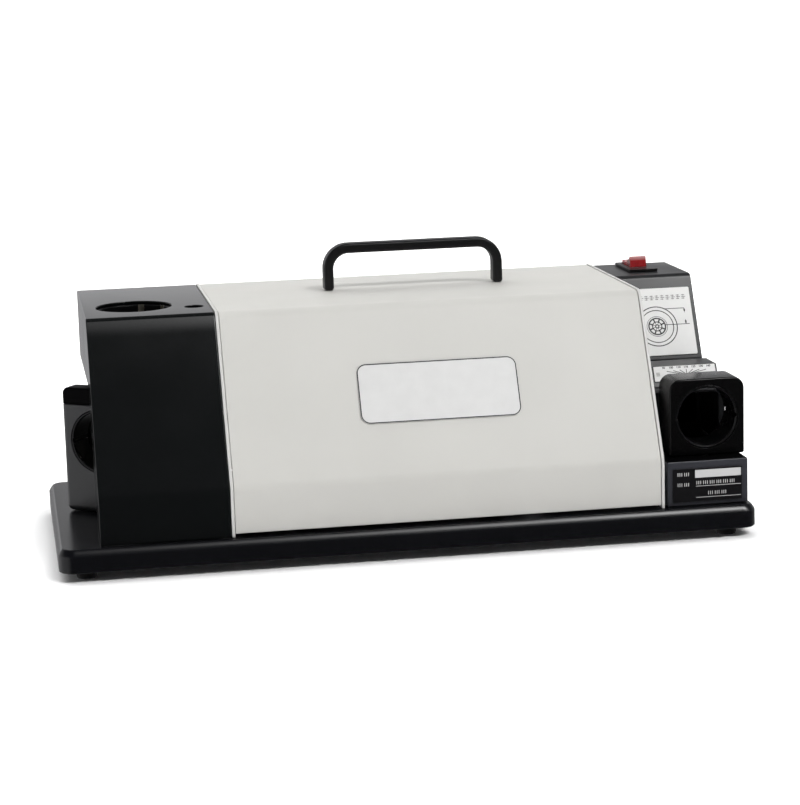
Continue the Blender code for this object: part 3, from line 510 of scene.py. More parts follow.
def floor_material():
    """A pale table with a faint painted light over it, as if lit from below, except close round the base."""
    tree, shader = new_material("studio_floor", 0.9, specular=0.1)
    clouds = ranged(tree, noise(tree, 3.0), 0.3, 0.7, 0.0, 1.0)
    tone = mixed(tree, clouds, (0.95, 0.95, 0.95, 1.0), (0.97, 0.97, 0.97, 1.0))
    tree.links.new(tone, shader.inputs["Base Color"])
    # Painted light: the floor emits a little, fading out close round the base.
    half_base = (TRAY_HIGH.x * MM, TRAY_HIGH.y * MM, 0.0)
    beyond = vector_node(tree, "SUBTRACT", vector_node(tree, "ABSOLUTE", position(tree)), half_base)
    distance = vector_node(tree, "LENGTH", vector_node(tree, "MAXIMUM", beyond), output="Value")
    painted_floor_glow = ranged(tree, distance, *FLOOR_GLOW_REACH, 0.0, FLOOR_GLOW)
    tree.links.new(painted_floor_glow, shader.inputs["Emission Strength"])
    shader.inputs["Emission Color"].default_value = (1.0, 1.0, 1.0, 1.0)

RUBBED_BLACK = (0.035, 0.036, 0.039)
coat("base_paint", (0.0028, 0.003, 0.0042), 0.22, 0.31, 0.0025, 0.1, RUBBED_BLACK, 0.4, 0.05, 0.02)
coat("hood_paint", (0.0028, 0.0034, 0.0036), 0.12, 0.31, 0.0025, 0.1, RUBBED_BLACK, 0.35, 0.05, 0.015)
coat("console_paint", (0.011, 0.0114, 0.0128), 0.34, 0.42, 0.004, 0.1, RUBBED_BLACK, 0.6, 0.08)
coat("lower_box_paint", (0.028, 0.029, 0.036), 0.34, 0.42, 0.004, 0.1, (0.07, 0.072, 0.085), 0.6, 0.05)
coat("port_black", (0.0014, 0.0013, 0.0015), 0.24, 0.26, 0.003, 0.1, (0.04, 0.04, 0.042), 0.4, 0.03)
coat("port_satin", (0.02, 0.0204, 0.0215), 0.4, 0.5, 0.005, 0.08, (0.07, 0.07, 0.074), 0.5, 0.03)
# A near-black coat with almost no gloss, used as painted shade and painted shadow.
coat("painted_shade_black", (0.0012, 0.0011, 0.0013), 0.42, 0.03, 0.003, 0.1, (0.03, 0.03, 0.032), 0.5)
metal("keyway_steel", (0.45, 0.42, 0.36), 0.4)
coat("bush_black", (0.003, 0.003, 0.0034), 0.28, 0.25, 0.002, 0.12, (0.05, 0.05, 0.05), 0.4)
cover_coat()
coat("plate_paint", (0.52, 0.515, 0.5), 0.42, 0.42, 0.006, 0.02, (0.42, 0.41, 0.4), 0.4)
coat("handle_black", (0.0035, 0.0035, 0.004), 0.4, 0.31, 0.008, 0.12, RUBBED_BLACK, 0.5, 0.03)
plastic("foot_rubber", (0.008, 0.008, 0.008), 0.82, 0.02, 700.0, 0.25)
metal("screw_zinc", (0.55, 0.55, 0.53), 0.34)
metal("steel", (0.52, 0.52, 0.53), 0.26, grain=(0.1, 1, 1))
metal("motor_iron", (0.2, 0.2, 0.21), 0.55, scale=160.0, relief=0.02)
winding()
metal("cast_aluminium", (0.62, 0.62, 0.63), 0.48, scale=420.0, relief=0.02)
abrasive()
plastic("fan_plastic", (0.12, 0.125, 0.13), 0.5)
plastic("switch_black", (0.005, 0.005, 0.005), 0.34, 0.004, specular=0.35)
plastic("inlet_plastic", (0.01, 0.01, 0.01), 0.45, 0.006, specular=0.4)
lit_red()
printed("label_white", (0.56, 0.56, 0.555), 0.38)
printed("chart_white", (0.68, 0.68, 0.67), 0.38)
printed("plate_black", (0.0045, 0.004, 0.0052), 0.34, 0.08)
printed("ink_black", (0.009, 0.009, 0.01), 0.42, 0.1)
printed("ink_grey", (0.2, 0.195, 0.19), 0.42, 0.1)
printed("ink_white", (0.5, 0.5, 0.5), 0.42)

def paint_frame_nodes():
    """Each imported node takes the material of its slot. Those that a piece stands for are then hidden."""
    for entry in frame["record"]["subparts"]:
        data = frame["nodes"][entry["node"]].data
        data.materials.clear()
        data.materials.append(MATERIALS[entry["material_slot"]])

# ---- base, cover, plates and handle

def shared_section(bottom, bends):
    """Clockwise from the front's foot: front, slope, top, back, bottom."""
    lower, upper, back = bends
    return [(FRONT, bottom), (FRONT, BEND, lower), (SLOPE_TOP, TOP, upper), (BACK, TOP, back), (BACK, bottom)]

def rolled_edge():
    """The tray's rolled edge as (distance inwards, drop), from its top down. Its radius is wider halfway
    round than at its two ends."""
    tight, wide, begin, end, step = 1.8, 16.0, 50, 64, 2
    points = [(0.0, 0.0)]
    for angle in range(0, 90, step):
        radius = wide if begin <= angle < end else tight
        start, stop = math.radians(angle), math.radians(angle + step)
        outwards, drop = points[-1]
        points.append((outwards + radius * (math.sin(stop) - math.sin(start)),
                       drop + radius * (math.cos(start) - math.cos(stop))))
    width = points[-1][0]
    return [(width - outwards, drop) for outwards, drop in points]

def make_base():
    """The tray: outlines stacked from its inner ceiling, down and round its lip, up and over its roll."""
    half_x, half_y = TRAY_HIGH.x, TRAY_HIGH.y
    bottom, top = TRAY_LOW.z, TRAY_HIGH.z
    corner, roll, lip = 11.0, 3.5, 0.4
    edge = rolled_edge()
    inner_roll = roll - SHEET
    layers = []
    for i in range(5):
        angle = math.radians(90 - 22.5 * i)
        layers.append((SHEET + inner_roll * (1 - math.cos(angle)),
                       top - SHEET - inner_roll * (1 - math.sin(angle))))
    layers += [(SHEET, bottom + lip), (SHEET - lip, bottom), (lip, bottom), (0, bottom + lip)]
    layers += [(inner, top - drop) for inner, drop in reversed(edge)]
    bm = bmesh.new()
    rings = []
    for inner, z in layers:
        x, y = half_x - inner, half_y - inner
        outline = rounded(corner_list(-x, -y, x, y, corner - inner), 6.0)
        rings.append([bm.verts.new((p.x, p.y, z)) for p in outline])
    stack_rings(bm, rings)
    tray = finish_mesh(bm, "tray_sheet")
    cut(tray, disc("lock_access_cut", "Z", 6.0, top - 8, top + 8, at(PIVOT.x, LOCK_Y, 0)))
    show(tray, "base_paint", "base_tray")

    for name in ("foot_front_left", "foot_front_right", "foot_back_left", "foot_back_right"):
        low, high = box_mm(name)
        centre = (low + high) / 2
        profile = [(0, high.z), (7.7, high.z), (8.0, high.z - 0.3), (7.3, 9.0), (6.6, low.z + 1.6),
                   (6.45, low.z + 0.7), (6.1, low.z + 0.15), (5.7, low.z), (3.9, low.z),
                   (3.5, low.z + 0.3), (3.5, 0), (0, 0)]
        foot = turned(f"{name}_rubber", "Z", profile, at(centre.x, centre.y, 0), 48)
        show(foot, "foot_rubber", name)

def make_plates():
    for name, side in (("left_end_plate", 1), ("right_end_plate", -1)):
        low, high = box_mm(name)
        thickness = 2.0
        start = low.x if side > 0 else high.x - thickness
        corners = inset(shared_section(FLOOR, (12, 9, 4)), [-0.6, -0.6, -0.6, 0, 0])
        plate = prism(f"{name}_sheet", "X", corners, start, start + thickness)
        edge = start + thickness / 2
        span = sorted((edge, edge + side * 14.9))
        back = BACK - COVER_SHEET - GAP - 0.2
        join(plate, block("flange", (span[0], back - 2, 30), (span[1], back, 150)))
        cut(plate, disc("shaft_hole", "X", 12, start - 5, start + 5, at(0, AXIS.y, AXIS.z)))
        show(plate, "plate_paint", name, soft=(0.45, 2))

def make_cover():
    section = shared_section(COVER_LOW.z, (12, 9, 4))
    outer = rounded(section, 3.0)
    inner = rounded(inset(section, [COVER_SHEET] * 4 + [0]), 3.0)
    bm = bmesh.new()
    extrude(bm, "X", outer + inner[::-1], COVER_LOW.x, COVER_HIGH.x)
    cover = finish_mesh(bm, "cover_sheet")
    vents = bmesh.new()
    for i in range(13):
        left = -69.9 + 16 * i
        slot = corner_list(left, 70.1, left + 4.8, 111.9, 2.3)
        extrude(vents, "Y", rounded(slot, 15.0), BACK - 5, BACK + 5)
    cut(cover, finish_mesh(vents, "vent_cuts"))
    for name in SCREWS:
        low, high = box_mm(name)
        centre = (low + high) / 2
        cut(cover, disc("screw_hole", "Y", 2.4, BACK - 6, BACK + 6, at(centre.x, 0, centre.z), 32))
    show(cover, "cover_paint", "motor_cover", soft=(0.35, 2))

SCREWS = [f"cover_screw_{side}_{level}" for side in ("left", "right") for level in ("lower", "upper")]

def make_screws():
    for name in SCREWS:
        low, high = box_mm(name)
        centre = (low + high) / 2
        head = high.y
        profile = [(0, head), (1.4, head - 0.08), (2.6, head - 0.35), (3.5, head - 0.95), (3.95, head - 1.7),
                   (4.0, head - 2.3), (3.9, head - 2.4), (2.0, head - 2.4), (2.0, low.y), (0, low.y)]
        screw = turned(f"{name}_pan", "Y", profile, at(centre.x, 0, centre.z), 40)
        place = at(centre.x, head, centre.z) @ Matrix.Rotation(math.radians(17 + 31 * len(name)), 4, "Y")
        cut(screw, block("recess_a", (-2.0, -1.5, -0.42), (2.0, 1, 0.42), place))
        cut(screw, block("recess_b", (-0.42, -1.4, -2.0), (0.42, 1.1, 2.0), place))
        show(screw, "screw_zinc", name)

def make_handle():
    low, high, bar = HANDLE_LOW, HANDLE_HIGH, 6.9
    left, right, inner_top = low.x + bar, high.x - bar, high.z - bar
    corners = [(low.x, low.z), (low.x, high.z, 18), (high.x, high.z, 18), (high.x, low.z), (right, low.z),
               (right, inner_top, 11), (left, inner_top, 11), (left, low.z)]
    handle = prism("handle_grip", "Y", corners, low.y, high.y, step=4.0)
    show(handle, "handle_black", "handle", soft=(1.8, 4))

# ---- left end

def hood_section():
    """The shared section with a slight second bend just under the top one, where the sheet was folded."""
    up = Vector((SLOPE_TOP - FRONT, TOP - BEND)).normalized()
    corner = Vector((SLOPE_TOP, TOP)) - up * 9.0
    leaning = Matrix.Rotation(math.radians(-3.5), 2) @ up
    crest = corner + leaning * (TOP - corner.y) / leaning.y
    return [(FRONT, FLOOR), (FRONT, BEND, 5), (*corner, 150), (crest.x, TOP, 4.5), (BACK, TOP, 4),
            (BACK, FLOOR)]

def make_hood():
    section = hood_section()
    hood = prism("hood_sheet", "X", section, HOOD_LOW.x, HOOD_HIGH.x, step=2.0)
    hollow = prism("hood_hollow", "X", inset(section, [SHEET] * 5 + [-10]),
                   HOOD_LOW.x + SHEET, HOOD_HIGH.x + 5)
    outline = [(-72, 8), (-60, 46, 30), (-32, 113, 12), (115, 113), (115, REAR_LEG_TOP),
               (REAR_LEG, REAR_LEG_TOP), (REAR_LEG, 8)]
    opening = prism("side_opening", "X", outline, HOOD_LOW.x - 5, HOOD_LOW.x + 4.8, step=3.0)
    top_hole = disc("top_hole", "Z", CUP_HOLE, TOP - 10, TOP + 10, at(CUP_X, CUP_Y, 0), 96)
    small_hole = disc("small_hole", "Z", TUBE_HOLE, TOP - 10, TOP + 10, at(TUBE_X, TUBE_Y, 0), 48)
    cut(hood, hollow, opening, top_hole, small_hole)
    show(hood, "hood_paint", "left_hood", soft=(0.6, 3))

def make_cup():
    under, cup_floor, cup_foot = TOP - SHEET - GAP, 116.0, 113.0
    profile = [(CUP_BORE, under - 0.6), (CUP_BORE + 0.6, under), (30.6, under), (31, under - 0.4),
               (31, under - 3), (28.5, under - 3), (28.5, cup_foot + 0.6), (27.9, cup_foot),
               (5.3, cup_foot), (5.3, cup_floor), (CUP_BORE, cup_floor)]
    cup = turned("setting_cup_turned", "Z", profile, at(CUP_X, CUP_Y, 0), 96)
    for angle in (35, 75):
        place = at(CUP_X, CUP_Y, 0) @ turn_z(angle)
        cut(cup, block("keyway", (20, -2, cup_floor + 1), (CUP_BORE + 1.6, 2, TOP), place))
    show(cup, "bush_black", "setting_cup", soft=(0.18, 1))
    cup.data.materials.append(MATERIALS["keyway_steel"])
    for face in cup.data.polygons:
        out = math.hypot(face.center.x / MM - CUP_X, face.center.y / MM - CUP_Y)
        if CUP_BORE + 0.15 < out < CUP_BORE + 2 and abs(face.normal.z) < 0.5:
            face.material_index = 1
    profile = [(0, 119.4), (7.6, 119.4), (8.6, 119.1), (9.0, 118.4), (9.0, 116.3), (5.0, 116.3),
               (5.0, 109), (0, 109)]
    stop = turned("setting_stop_turned", "Z", profile, at(CUP_X, CUP_Y, 0))
    show(stop, "steel", "setting_stop")
    profile = [(0, 102), (TUBE_HOLE - 0.3, 102), (TUBE_HOLE, 102.3), (TUBE_HOLE, under - 0.4),
               (TUBE_HOLE + 0.4, under), (10, under), (10, under - 2), (8, under - 2), (8, 100), (0, 100)]
    tube = turned("tool_tube_turned", "Z", profile, at(TUBE_X, TUBE_Y, 0))
    show(tube, "bush_black", "tool_tube")

def bush(name, depth, matrix):
    """A port's bush with a chamfered mouth and two index notches."""
    outer, mouth = PORT_BORE + BUSH_WALL, 0.2
    profile = [(PORT_BORE, mouth + 0.7), (PORT_BORE + 0.7, mouth), (outer - 0.2, mouth), (outer, mouth + 0.2),
               (outer, depth), (PORT_BORE, depth)]
    sleeve = turned(name, "Y", profile, matrix, 96)
    cut(sleeve, block("notch", (-PORT_BORE - 1, -5, -1.5), (PORT_BORE + 1, depth + 5, 1.5), matrix))
    return sleeve

def make_thinning_port():
    place = at(THIN_X, THIN_Y, THIN_Z) @ turn_z(THIN_TURN)
    half = THIN_WIDTH / 2
    outline = (-half, FLOOR - THIN_Z, half, THIN_TOP - THIN_Z, 4.2, 4.2)
    face_top = THIN_FACE_TOP - THIN_Z
    body = rolled_block("thinning_block_face", outline, 0, THIN_DEPTH, 4.0, place, 6.0)
    bore = disc("thinning_bore", "Y", PORT_BORE + BUSH_WALL + GAP, -20, THIN_DEPTH + 20, place, 96)
    cut(body, bore, block("above_face", (-half - 5, -5, face_top), (half + 5, THIN_DEPTH + 5, 50), place))
    show(body, "port_black", "thinning_block", soft=(0.6, 4, 50), material="port_satin")
    # Painted shade: the head above the step takes the near-black coat, so the band over the face reads dark.
    head = rolled_block("thinning_block_head", outline, 0, THIN_DEPTH, 4.0, place, 6.0)
    cut(head, block("below_head", (-half - 5, -5, -80), (half + 5, THIN_DEPTH + 5, face_top), place),
        block("head_step", (-half - 5, -5, face_top - 5), (half + 5, THIN_STEP, 50), place))
    show(head, "port_black", soft=(0.5, 3, 50), material="painted_shade_black")
    sleeve = bush("thinning_bush_turned", THIN_DEPTH, place)
    show(sleeve, "bush_black", "thinning_bush", soft=(0.12, 1))

def make_guards():
    for name in ("left_guard_front", "left_guard_side"):
        low, high = box_mm(name)
        guard = block(f"{name}_sheet", low, high)
        show(guard, "hood_paint", name, soft=(0.4, 2))

# ---- right end

def make_console():
    low, high = CONSOLE_LOW, CONSOLE_HIGH
    section = [(low.y, low.z), (low.y, CONSOLE_FOLD, 3), (CONSOLE_EDGE, high.z, 5), (BACK, high.z, 4),
               (BACK, low.z)]
    console = prism("console_sheet", "X", section, low.x, high.x)
    hollow = prism("console_hollow", "X", inset(section, [SHEET] * 4 + [-10]), low.x - 5, high.x - SHEET)
    window = prism("console_window", "Y",
                   corner_list(WINDOW_LEFT, WINDOW_FOOT, WINDOW_RIGHT, 94, 3), low.y - 5, low.y + 4)
    switch_hole = block("switch_hole", (SWITCH_X - 9.6, SWITCH_Y - 18.4, high.z - 5),
                        (SWITCH_X + 9.6, SWITCH_Y + 19.0, high.z + 5))
    inlet_hole = block("inlet_hole", (INLET_X - 14, BACK - 5, INLET_Z - 10.3),
                       (INLET_X + 14, BACK + 5, INLET_Z + 10.3))
    cut(console, hollow, window, switch_hole, inlet_hole)
    show(console, "console_paint", "right_console", soft=(0.7, 3))

def make_lower_box():
    low, high = LOWER_LOW, LOWER_HIGH
    lower = block("lower_box_sheet", low, high)
    hollow = block("lower_hollow", (low.x + 2, low.y + 2, 0), (high.x - 2, 20, high.z - 2))
    pin_hole = disc("pin_hole", "Z", PIN_HOLE, high.z - 6, high.z + 6, at(PIVOT.x, PIVOT.y, 0), 32)
    reach = math.radians(SWIVEL_REACH) * (PIVOT.y - LOCK_Y) + 2.4
    outline = corner_list(PIVOT.x - reach, LOCK_Y - 2.4, PIVOT.x + reach, LOCK_Y + 3.2, LOCK_HOLE)
    slot = prism("lock_slot", "Z", outline, high.z - 6, high.z + 6)
    cut(lower, hollow, pin_hole, slot)
    show(lower, "console_paint", "lower_right_box", soft=(0.9, 3), material="lower_box_paint")
    # Painted shadow: the top faces, under the swivel block, take the near-black coat.
    lower.data.materials.append(MATERIALS["painted_shade_black"])
    for face in lower.data.polygons:
        if face.normal.z > 0.95 and face.center.z / MM - DATUM > high.z - 1:
            face.material_index = 1

def make_housing():
    low, high = HOUSING_LOW, HOUSING_HIGH
    section = [(low.y, low.z), (low.y, HOUSING_STEP, 2.5), (SCALE_FOOT, HOUSING_STEP),
               (SCALE_HEAD, high.z, 1.8), (HOUSING_BACK, high.z, 1.8), (HOUSING_BACK, HOUSING_SHELF),
               (high.y, HOUSING_SHELF), (high.y, low.z)]
    housing = prism("housing_sheet", "X", section, low.x, high.x)
    hollow = prism("housing_hollow", "X", inset(section, [2, 2, 2, 2, 2, 2, -8, -8]), low.x + 2, high.x - 2)
    window = prism("housing_window", "Y",
                   corner_list(WINDOW_LEFT, WINDOW_FOOT, WINDOW_RIGHT, 88, 3), low.y - 5, low.y + 4)
    cut(housing, hollow, window)
    show(housing, "console_paint", "port_housing", soft=(0.7, 3))

def make_swivel_port():
    low, high = BLOCK_LOW, BLOCK_HIGH
    body = rolled_block("swivel_block_cast", (low.x, low.z, high.x, high.z, 1.5, 8), low.y, high.y, 1.4)
    place = at(PIVOT.x, low.y, PORT_Z)
    depth = high.y - low.y
    cut(body, disc("swivel_bore", "Y", PORT_BORE + BUSH_WALL + GAP, -20, depth + 20, place, 96))
    cut(body, disc("pin_pocket", "Z", PIN_HOLE, low.z - 4, low.z + 3.7, at(PIVOT.x, PIVOT.y, 0), 32))
    cut(body, disc("lock_pocket", "Z", LOCK_HOLE, low.z - 4, low.z + 3.7, at(PIVOT.x, LOCK_Y, 0), 32))
    show(body, "port_black", "swivel_block", soft=(0.3, 2, 50), body=SWIVEL)
    sleeve = bush("swivel_bush_turned", depth, place)
    show(sleeve, "bush_black", "swivel_bush", soft=(0.12, 1), body=SWIVEL)

def make_switch():
    low, high = box_mm("switch_bezel")
    rim = CONSOLE_HIGH.z + GAP
    bezel = prism("switch_frame", "Z", corner_list(low.x, low.y, high.x, high.y, 1.6), rim, high.z, step=15.0)
    join(bezel, block("switch_body", (SWITCH_X - 9.2, SWITCH_Y - 18, low.z),
                      (SWITCH_X + 9.2, SWITCH_Y + 18.6, rim + 1)))
    y, reach = ROCKER_PIVOT.y, ROCKER_HALF + 1.4
    cut(bezel, block("switch_pocket", (SWITCH_X - 6.7, y - reach, ROCKER_PIVOT.z - 8),
                     (SWITCH_X + 6.7, y + reach, 170)))
    show(bezel, "switch_black", "switch_bezel", soft=(0.5, 3))

    end, sag = ROCKER_HALF, 0.35
    face = []
    for i in range(9):
        share = i / 8
        face.append((-end * (1 - share), 8.3 - 2.5 * share - sag * math.sin(math.pi * share)))
    face += [(-a, b) for a, b in reversed(face[:-1])]
    outline = [(-end, -2.5)] + face + [(end, -2.5)]
    tilt = at(*ROCKER_PIVOT) @ Matrix.Rotation(math.radians(-ROCKER_TILT), 4, "X")
    bm = bmesh.new()
    extrude(bm, "X", outline, -6.2, 6.2)
    rocker = finish_mesh(bm, "rocker_cap", tilt)
    show(rocker, "switch_red", "switch_rocker", soft=(0.55, 3, 40), body=ROCKER)

def make_inlet():
    low, high = box_mm("power_inlet")
    rim = BACK + GAP
    inlet = prism("inlet_shell", "Y", corner_list(low.x, INLET_Z - 12, high.x, INLET_Z + 12, 3), rim, high.y)
    join(inlet, block("inlet_body", (INLET_X - 13.6, low.y, INLET_Z - 9.9),
                      (INLET_X + 13.6, rim + 1, INLET_Z + 9.9)))
    socket = [(INLET_X + dx, INLET_Z + dz, 1) for dx, dz in
              ((-12.2, -8.3), (-12.2, 3.5), (-7.5, 8.3), (7.5, 8.3), (12.2, 3.5), (12.2, -8.3))]
    cut(inlet, prism("socket_cut", "Y", socket, BACK - 13, BACK + 9, step=15.0))
    show(inlet, "inlet_plastic", "power_inlet", soft=(0.5, 3))
    for i, (dx, dz) in enumerate(((-7, -1), (0, 2.5), (7, -1))):
        x, z = INLET_X + dx, INLET_Z + dz
        blade = block(f"inlet_blade_{i}", (x - 1, BACK - 14, z - 2), (x + 1, BACK - 4, z + 2))
        show(blade, "screw_zinc", soft=(0.4, 2))

# ---- wheels seen through the ports

def make_wheels():
    place = at(0, AXIS.y, AXIS.z)
    low, high = box_mm("grinding_wheel")
    nose, radius = 31.0, 44.0
    profile = [(10.3, high.x), (nose - 1.0, high.x), (nose, high.x - 0.6), (radius - 0.3, low.x + 1.2),
               (radius - 0.1, low.x + 0.5), (radius - 0.6, low.x), (10.3, low.x)]
    wheel = turned("grinding_wheel_bonded", "X", profile, place, 96)
    show(wheel, "abrasive", "grinding_wheel", body=SHAFT)
    low, high = box_mm("thinning_wheel")
    radius = 33.0
    middle = (low.x + high.x) / 2
    profile = [(8.3, high.x), (radius - 3.2, high.x), (radius - 2.6, high.x - 0.4), (radius, middle + 0.8),
               (radius, middle - 0.8), (radius - 2.6, low.x + 0.4), (radius - 3.2, low.x), (8.3, low.x)]
    wheel = turned("thinning_wheel_bonded", "X", profile, place, 96)
    show(wheel, "abrasive", "thinning_wheel", body=SHAFT)

# ---- labels and what is printed on them

def slope_matrix(lower, upper):
    """Local X runs to the right, local Y up the face and local Z out of it, from the face's top edge."""
    down = (Vector(lower) - Vector(upper)).normalized()
    return at(0, *upper) @ Matrix.Rotation(math.atan2(-down.y, -down.x), 4, "X")

LABEL_SHEET = 0.5
INK = 0.06

def label(node, slot, face, x, span, corner, material=None):
    """A film between two levels x to the right and two distances down its face."""
    corners = corner_list(x[0], -span[1], x[1], -span[0], corner)
    plate = prism(f"{node}_film", "Z", corners, GAP, GAP + LABEL_SHEET, slope_matrix(*face))
    show(plate, slot, node, soft=(0.12, 2), material=material)

def add_stroke(bm, points, width, closed=False):
    """A flat printed line along points, as a thin closed solid."""
    base = GAP + LABEL_SHEET + 0.01
    count = len(points)
    sides = []
    for i, point in enumerate(points):
        before = points[i - 1] if closed or i else points[0]
        after = points[(i + 1) % count] if closed or i < count - 1 else points[-1]
        along = (Vector(after) - Vector(before)).normalized()
        across = Vector((-along.y, along.x)) * width / 2
        sides.append((Vector(point) + across, Vector(point) - across))
    stack_rings(bm, [[bm.verts.new((p.x, p.y, z)) for p, z in
                      ((left, base), (left, base + INK), (right, base + INK), (right, base))]
                     for left, right in sides], closed)

def line(x0, y0, x1, y1, width):
    return [(x0, y0), (x1, y1)], width, False

def ring(x, y, radius, width, steps=64):
    return [(x + radius * math.cos(math.tau * i / steps), y + radius * math.sin(math.tau * i / steps))
            for i in range(steps)], width, True

def printed_lines(name, face, material, strokes):
    bm = bmesh.new()
    for points, width, closed in strokes:
        add_stroke(bm, points, width, closed)
    ink = finish_mesh(bm, name, slope_matrix(*face))
    show(ink, "label_white", soft=None, material=material)

def make_labels():
    slope = ((FRONT, BEND), (SLOPE_TOP, TOP))
    panel = ((CONSOLE_LOW.y, CONSOLE_FOLD), (CONSOLE_EDGE, CONSOLE_HIGH.z))
    scale_face = ((SCALE_FOOT, HOUSING_STEP), (SCALE_HEAD, HOUSING_HIGH.z))
    box_front = ((LOWER_LOW.y, LOWER_LOW.z), (LOWER_LOW.y, LOWER_HIGH.z))

    x, span = (-31.0, 78.5), (42.5, 84.6)
    corner, edge = 6.5, 0.5
    label("cover_label", "label_white", slope, x, span, corner)
    border = corner_list(x[0] + edge, edge - span[1], x[1] - edge, -span[0] - edge, corner - edge)
    printed_lines("cover_label_border", slope, "ink_black", [(rounded(border, 6.0), 0.72, True)])

    label("setting_chart", "label_white", panel, (177.0, 227.5), (10.6, 61.5), 1.0, "chart_white")
    make_chart(panel)
    label("angle_scale", "label_white", scale_face, (184.5, 229.0), (0.4, 11.4), 0.5, "chart_white")
    make_scale(scale_face)
    label("rating_plate", "plate_black", box_front, (178.5, 227.0), (5.0, 28.0), 0.8)
    fields = [line(194.0, -8.9, 226.2, -8.9, 5.4), line(194.6, -17.4, 226.2, -17.4, 0.35),
              line(194.6, -25.2, 226.2, -25.2, 0.35)]
    printed_lines("rating_plate_fields", box_front, "ink_white", fields)
    marks = []
    for start, count, y in ((182.0, 2, -8.9), (182.0, 2, -16.0), (195.2, 6, -15.0), (203.4, 3, -22.4)):
        for i in range(3 * count):
            x = start + 4.7 * (i // 3) + 1.35 * (i % 3)
            marks.append(line(x, y - 1.2, x, y + 1.2, 0.45))
    printed_lines("rating_plate_marks", box_front, "ink_white", marks)

def make_chart(panel):
    """Rings of the chuck's face with its petals, and the two lines of the setting height."""
    x, y = 200.4, -39.6
    strokes = [ring(x, y, radius, width) for radius, width in
               ((14.8, 0.75), (12.1, 0.65), (7.5, 0.35), (6.1, 1.0), (3.4, 0.75), (1.2, 0.8))]
    petals = 8
    for i in range(petals):
        angle = math.tau * (i + 0.5) / petals
        a, b = math.cos(angle), math.sin(angle)
        strokes.append(line(x + a * 3.6, y + b * 3.6, x + a * 5.9, y + b * 5.9, 1.0))
        strokes.append(line(x + a * 1.3, y + b * 1.3, x + a * 3.3, y + b * 3.3, 0.4))
    top, side = y + 13.0, x + 21.6
    strokes += [line(x + 7.6, top, side, top, 0.5), line(x + 6.4, y + 0.9, x + 24.3, y + 0.9, 0.5),
                line(side, top, side, y + 9.6, 0.35), line(side, y + 0.9, side, y + 4.4, 0.35),
                line(side, y + 3.6, side, y + 1.6, 1.1), line(side, y + 12.4, side, y + 10.6, 1.1)]
    printed_lines("setting_chart_rings", panel, "ink_black", strokes)
    heading = []
    for i in range(9):
        left = 190.0 + 3.9 * i
        for level, share in ((-16.6, 0.75), (-17.9, 0.95), (-19.2, 0.7)):
            heading.append(line(left, level, left + 3.1 * share, level, 0.5))
        heading.append(line(left + 1.3, -16.0, left + 1.3, -19.8, 0.35))
    printed_lines("setting_chart_heading", panel, "ink_grey", heading)

def make_scale(face):
    """A fan of rays from a point at the scale's foot, each to its point angle in degrees."""
    centre_x, foot, head = 208.0, -7.2, -2.9
    numbers = (90, 100, 110, 118, 125, 130, 140)
    strokes = []
    for i, number in enumerate(numbers):
        shift = (i - 3) * 5.4
        towards = Vector((shift, 2.9 + (3 - abs(i - 3)) * 0.35))
        start = Vector((centre_x, foot)) + towards.normalized() * 1.1
        strokes.append(([start, Vector((centre_x + shift * 0.88, foot)) + Vector((0, towards.y))], 0.45, False))
        curve = bpy.data.curves.new(f"angle_{number}", "FONT")
        curve.body = str(number)
        curve.size = 2.1 * MM
        curve.align_x = "CENTER"
        curve.extrude = INK / 2 * MM
        curve.offset = 0.06 * MM
        curve.resolution_u = 3
        holder = new_object(f"angle_{number}_outline", curve)
        bpy.context.view_layer.update()
        graph = bpy.context.evaluated_depsgraph_get()
        mesh = bpy.data.meshes.new_from_object(holder.evaluated_get(graph))
        bpy.data.objects.remove(holder, do_unlink=True)
        digits = new_object(f"angle_number_{number}", mesh)
        place = slope_matrix(*face) @ at(centre_x + shift, head + 0.6, GAP + LABEL_SHEET + 0.01 + INK / 2)
        mesh.transform(Matrix.Translation((place.translation + LIFT) * MM) @ place.to_3x3().to_4x4())
        show(digits, "label_white", soft=None, material="ink_black")
    printed_lines("angle_scale_rays", face, "ink_black", strokes)
    mark = [line(186.0, y, 188.6, y, 0.5) for y in (-5.2, -6.2, -7.2)]
    printed_lines("angle_scale_mark", face, "ink_grey", mark)

# ---- studio

CAMERA_PLACE = (-0.26545, -1.66437, 0.40227)
CAMERA_YAW, CAMERA_PITCH, CAMERA_ROLL = 9.3755, 10.606, -1.676
CAMERA_LENS = 109.195
TOP_TOWARDS, TOP_STRENGTH, TOP_SPREAD = (-0.1, 0.68, 1.0), 3.1, 80
KEY_X, KEY_LIFT, KEY_LENGTH, KEY_HEIGHT, KEY_PEAK = 0.42, 56.0, 0.22, 0.1, 29.0
FLOOR_RADIUS, FLOOR_GLOW, FLOOR_GLOW_REACH = 60.0, 0.35, (0.003, 0.024)

def make_camera():
    yaw, pitch, roll = (math.radians(a) for a in (CAMERA_YAW, CAMERA_PITCH, CAMERA_ROLL))
    forward = Vector((math.sin(yaw) * math.cos(pitch), math.cos(yaw) * math.cos(pitch), -math.sin(pitch)))
    level = Vector((math.cos(yaw), -math.sin(yaw), 0))
    above = level.cross(forward)
    right = level * math.cos(roll) + above * math.sin(roll)
    up = above * math.cos(roll) - level * math.sin(roll)
    camera = new_object("camera", bpy.data.cameras.new("camera"))
    camera.matrix_world = Matrix.Translation(CAMERA_PLACE) @ Matrix((right, up, -forward)).transposed().to_4x4()
    camera.data.lens = CAMERA_LENS
    camera.data.clip_end = 100.0
    bpy.context.scene.camera = camera

def make_top_light():
    """Soft light from above and a little from behind, which shows in no reflection."""
    light = bpy.data.lights.new("top_light", "SUN")
    light.energy = TOP_STRENGTH
    light.angle = math.radians(TOP_SPREAD)
    obj = new_object("top_light", light)
    obj.rotation_mode = "QUATERNION"
    obj.rotation_quaternion = Vector(TOP_TOWARDS).to_track_quat("Z", "Y")
    obj.visible_glossy = False

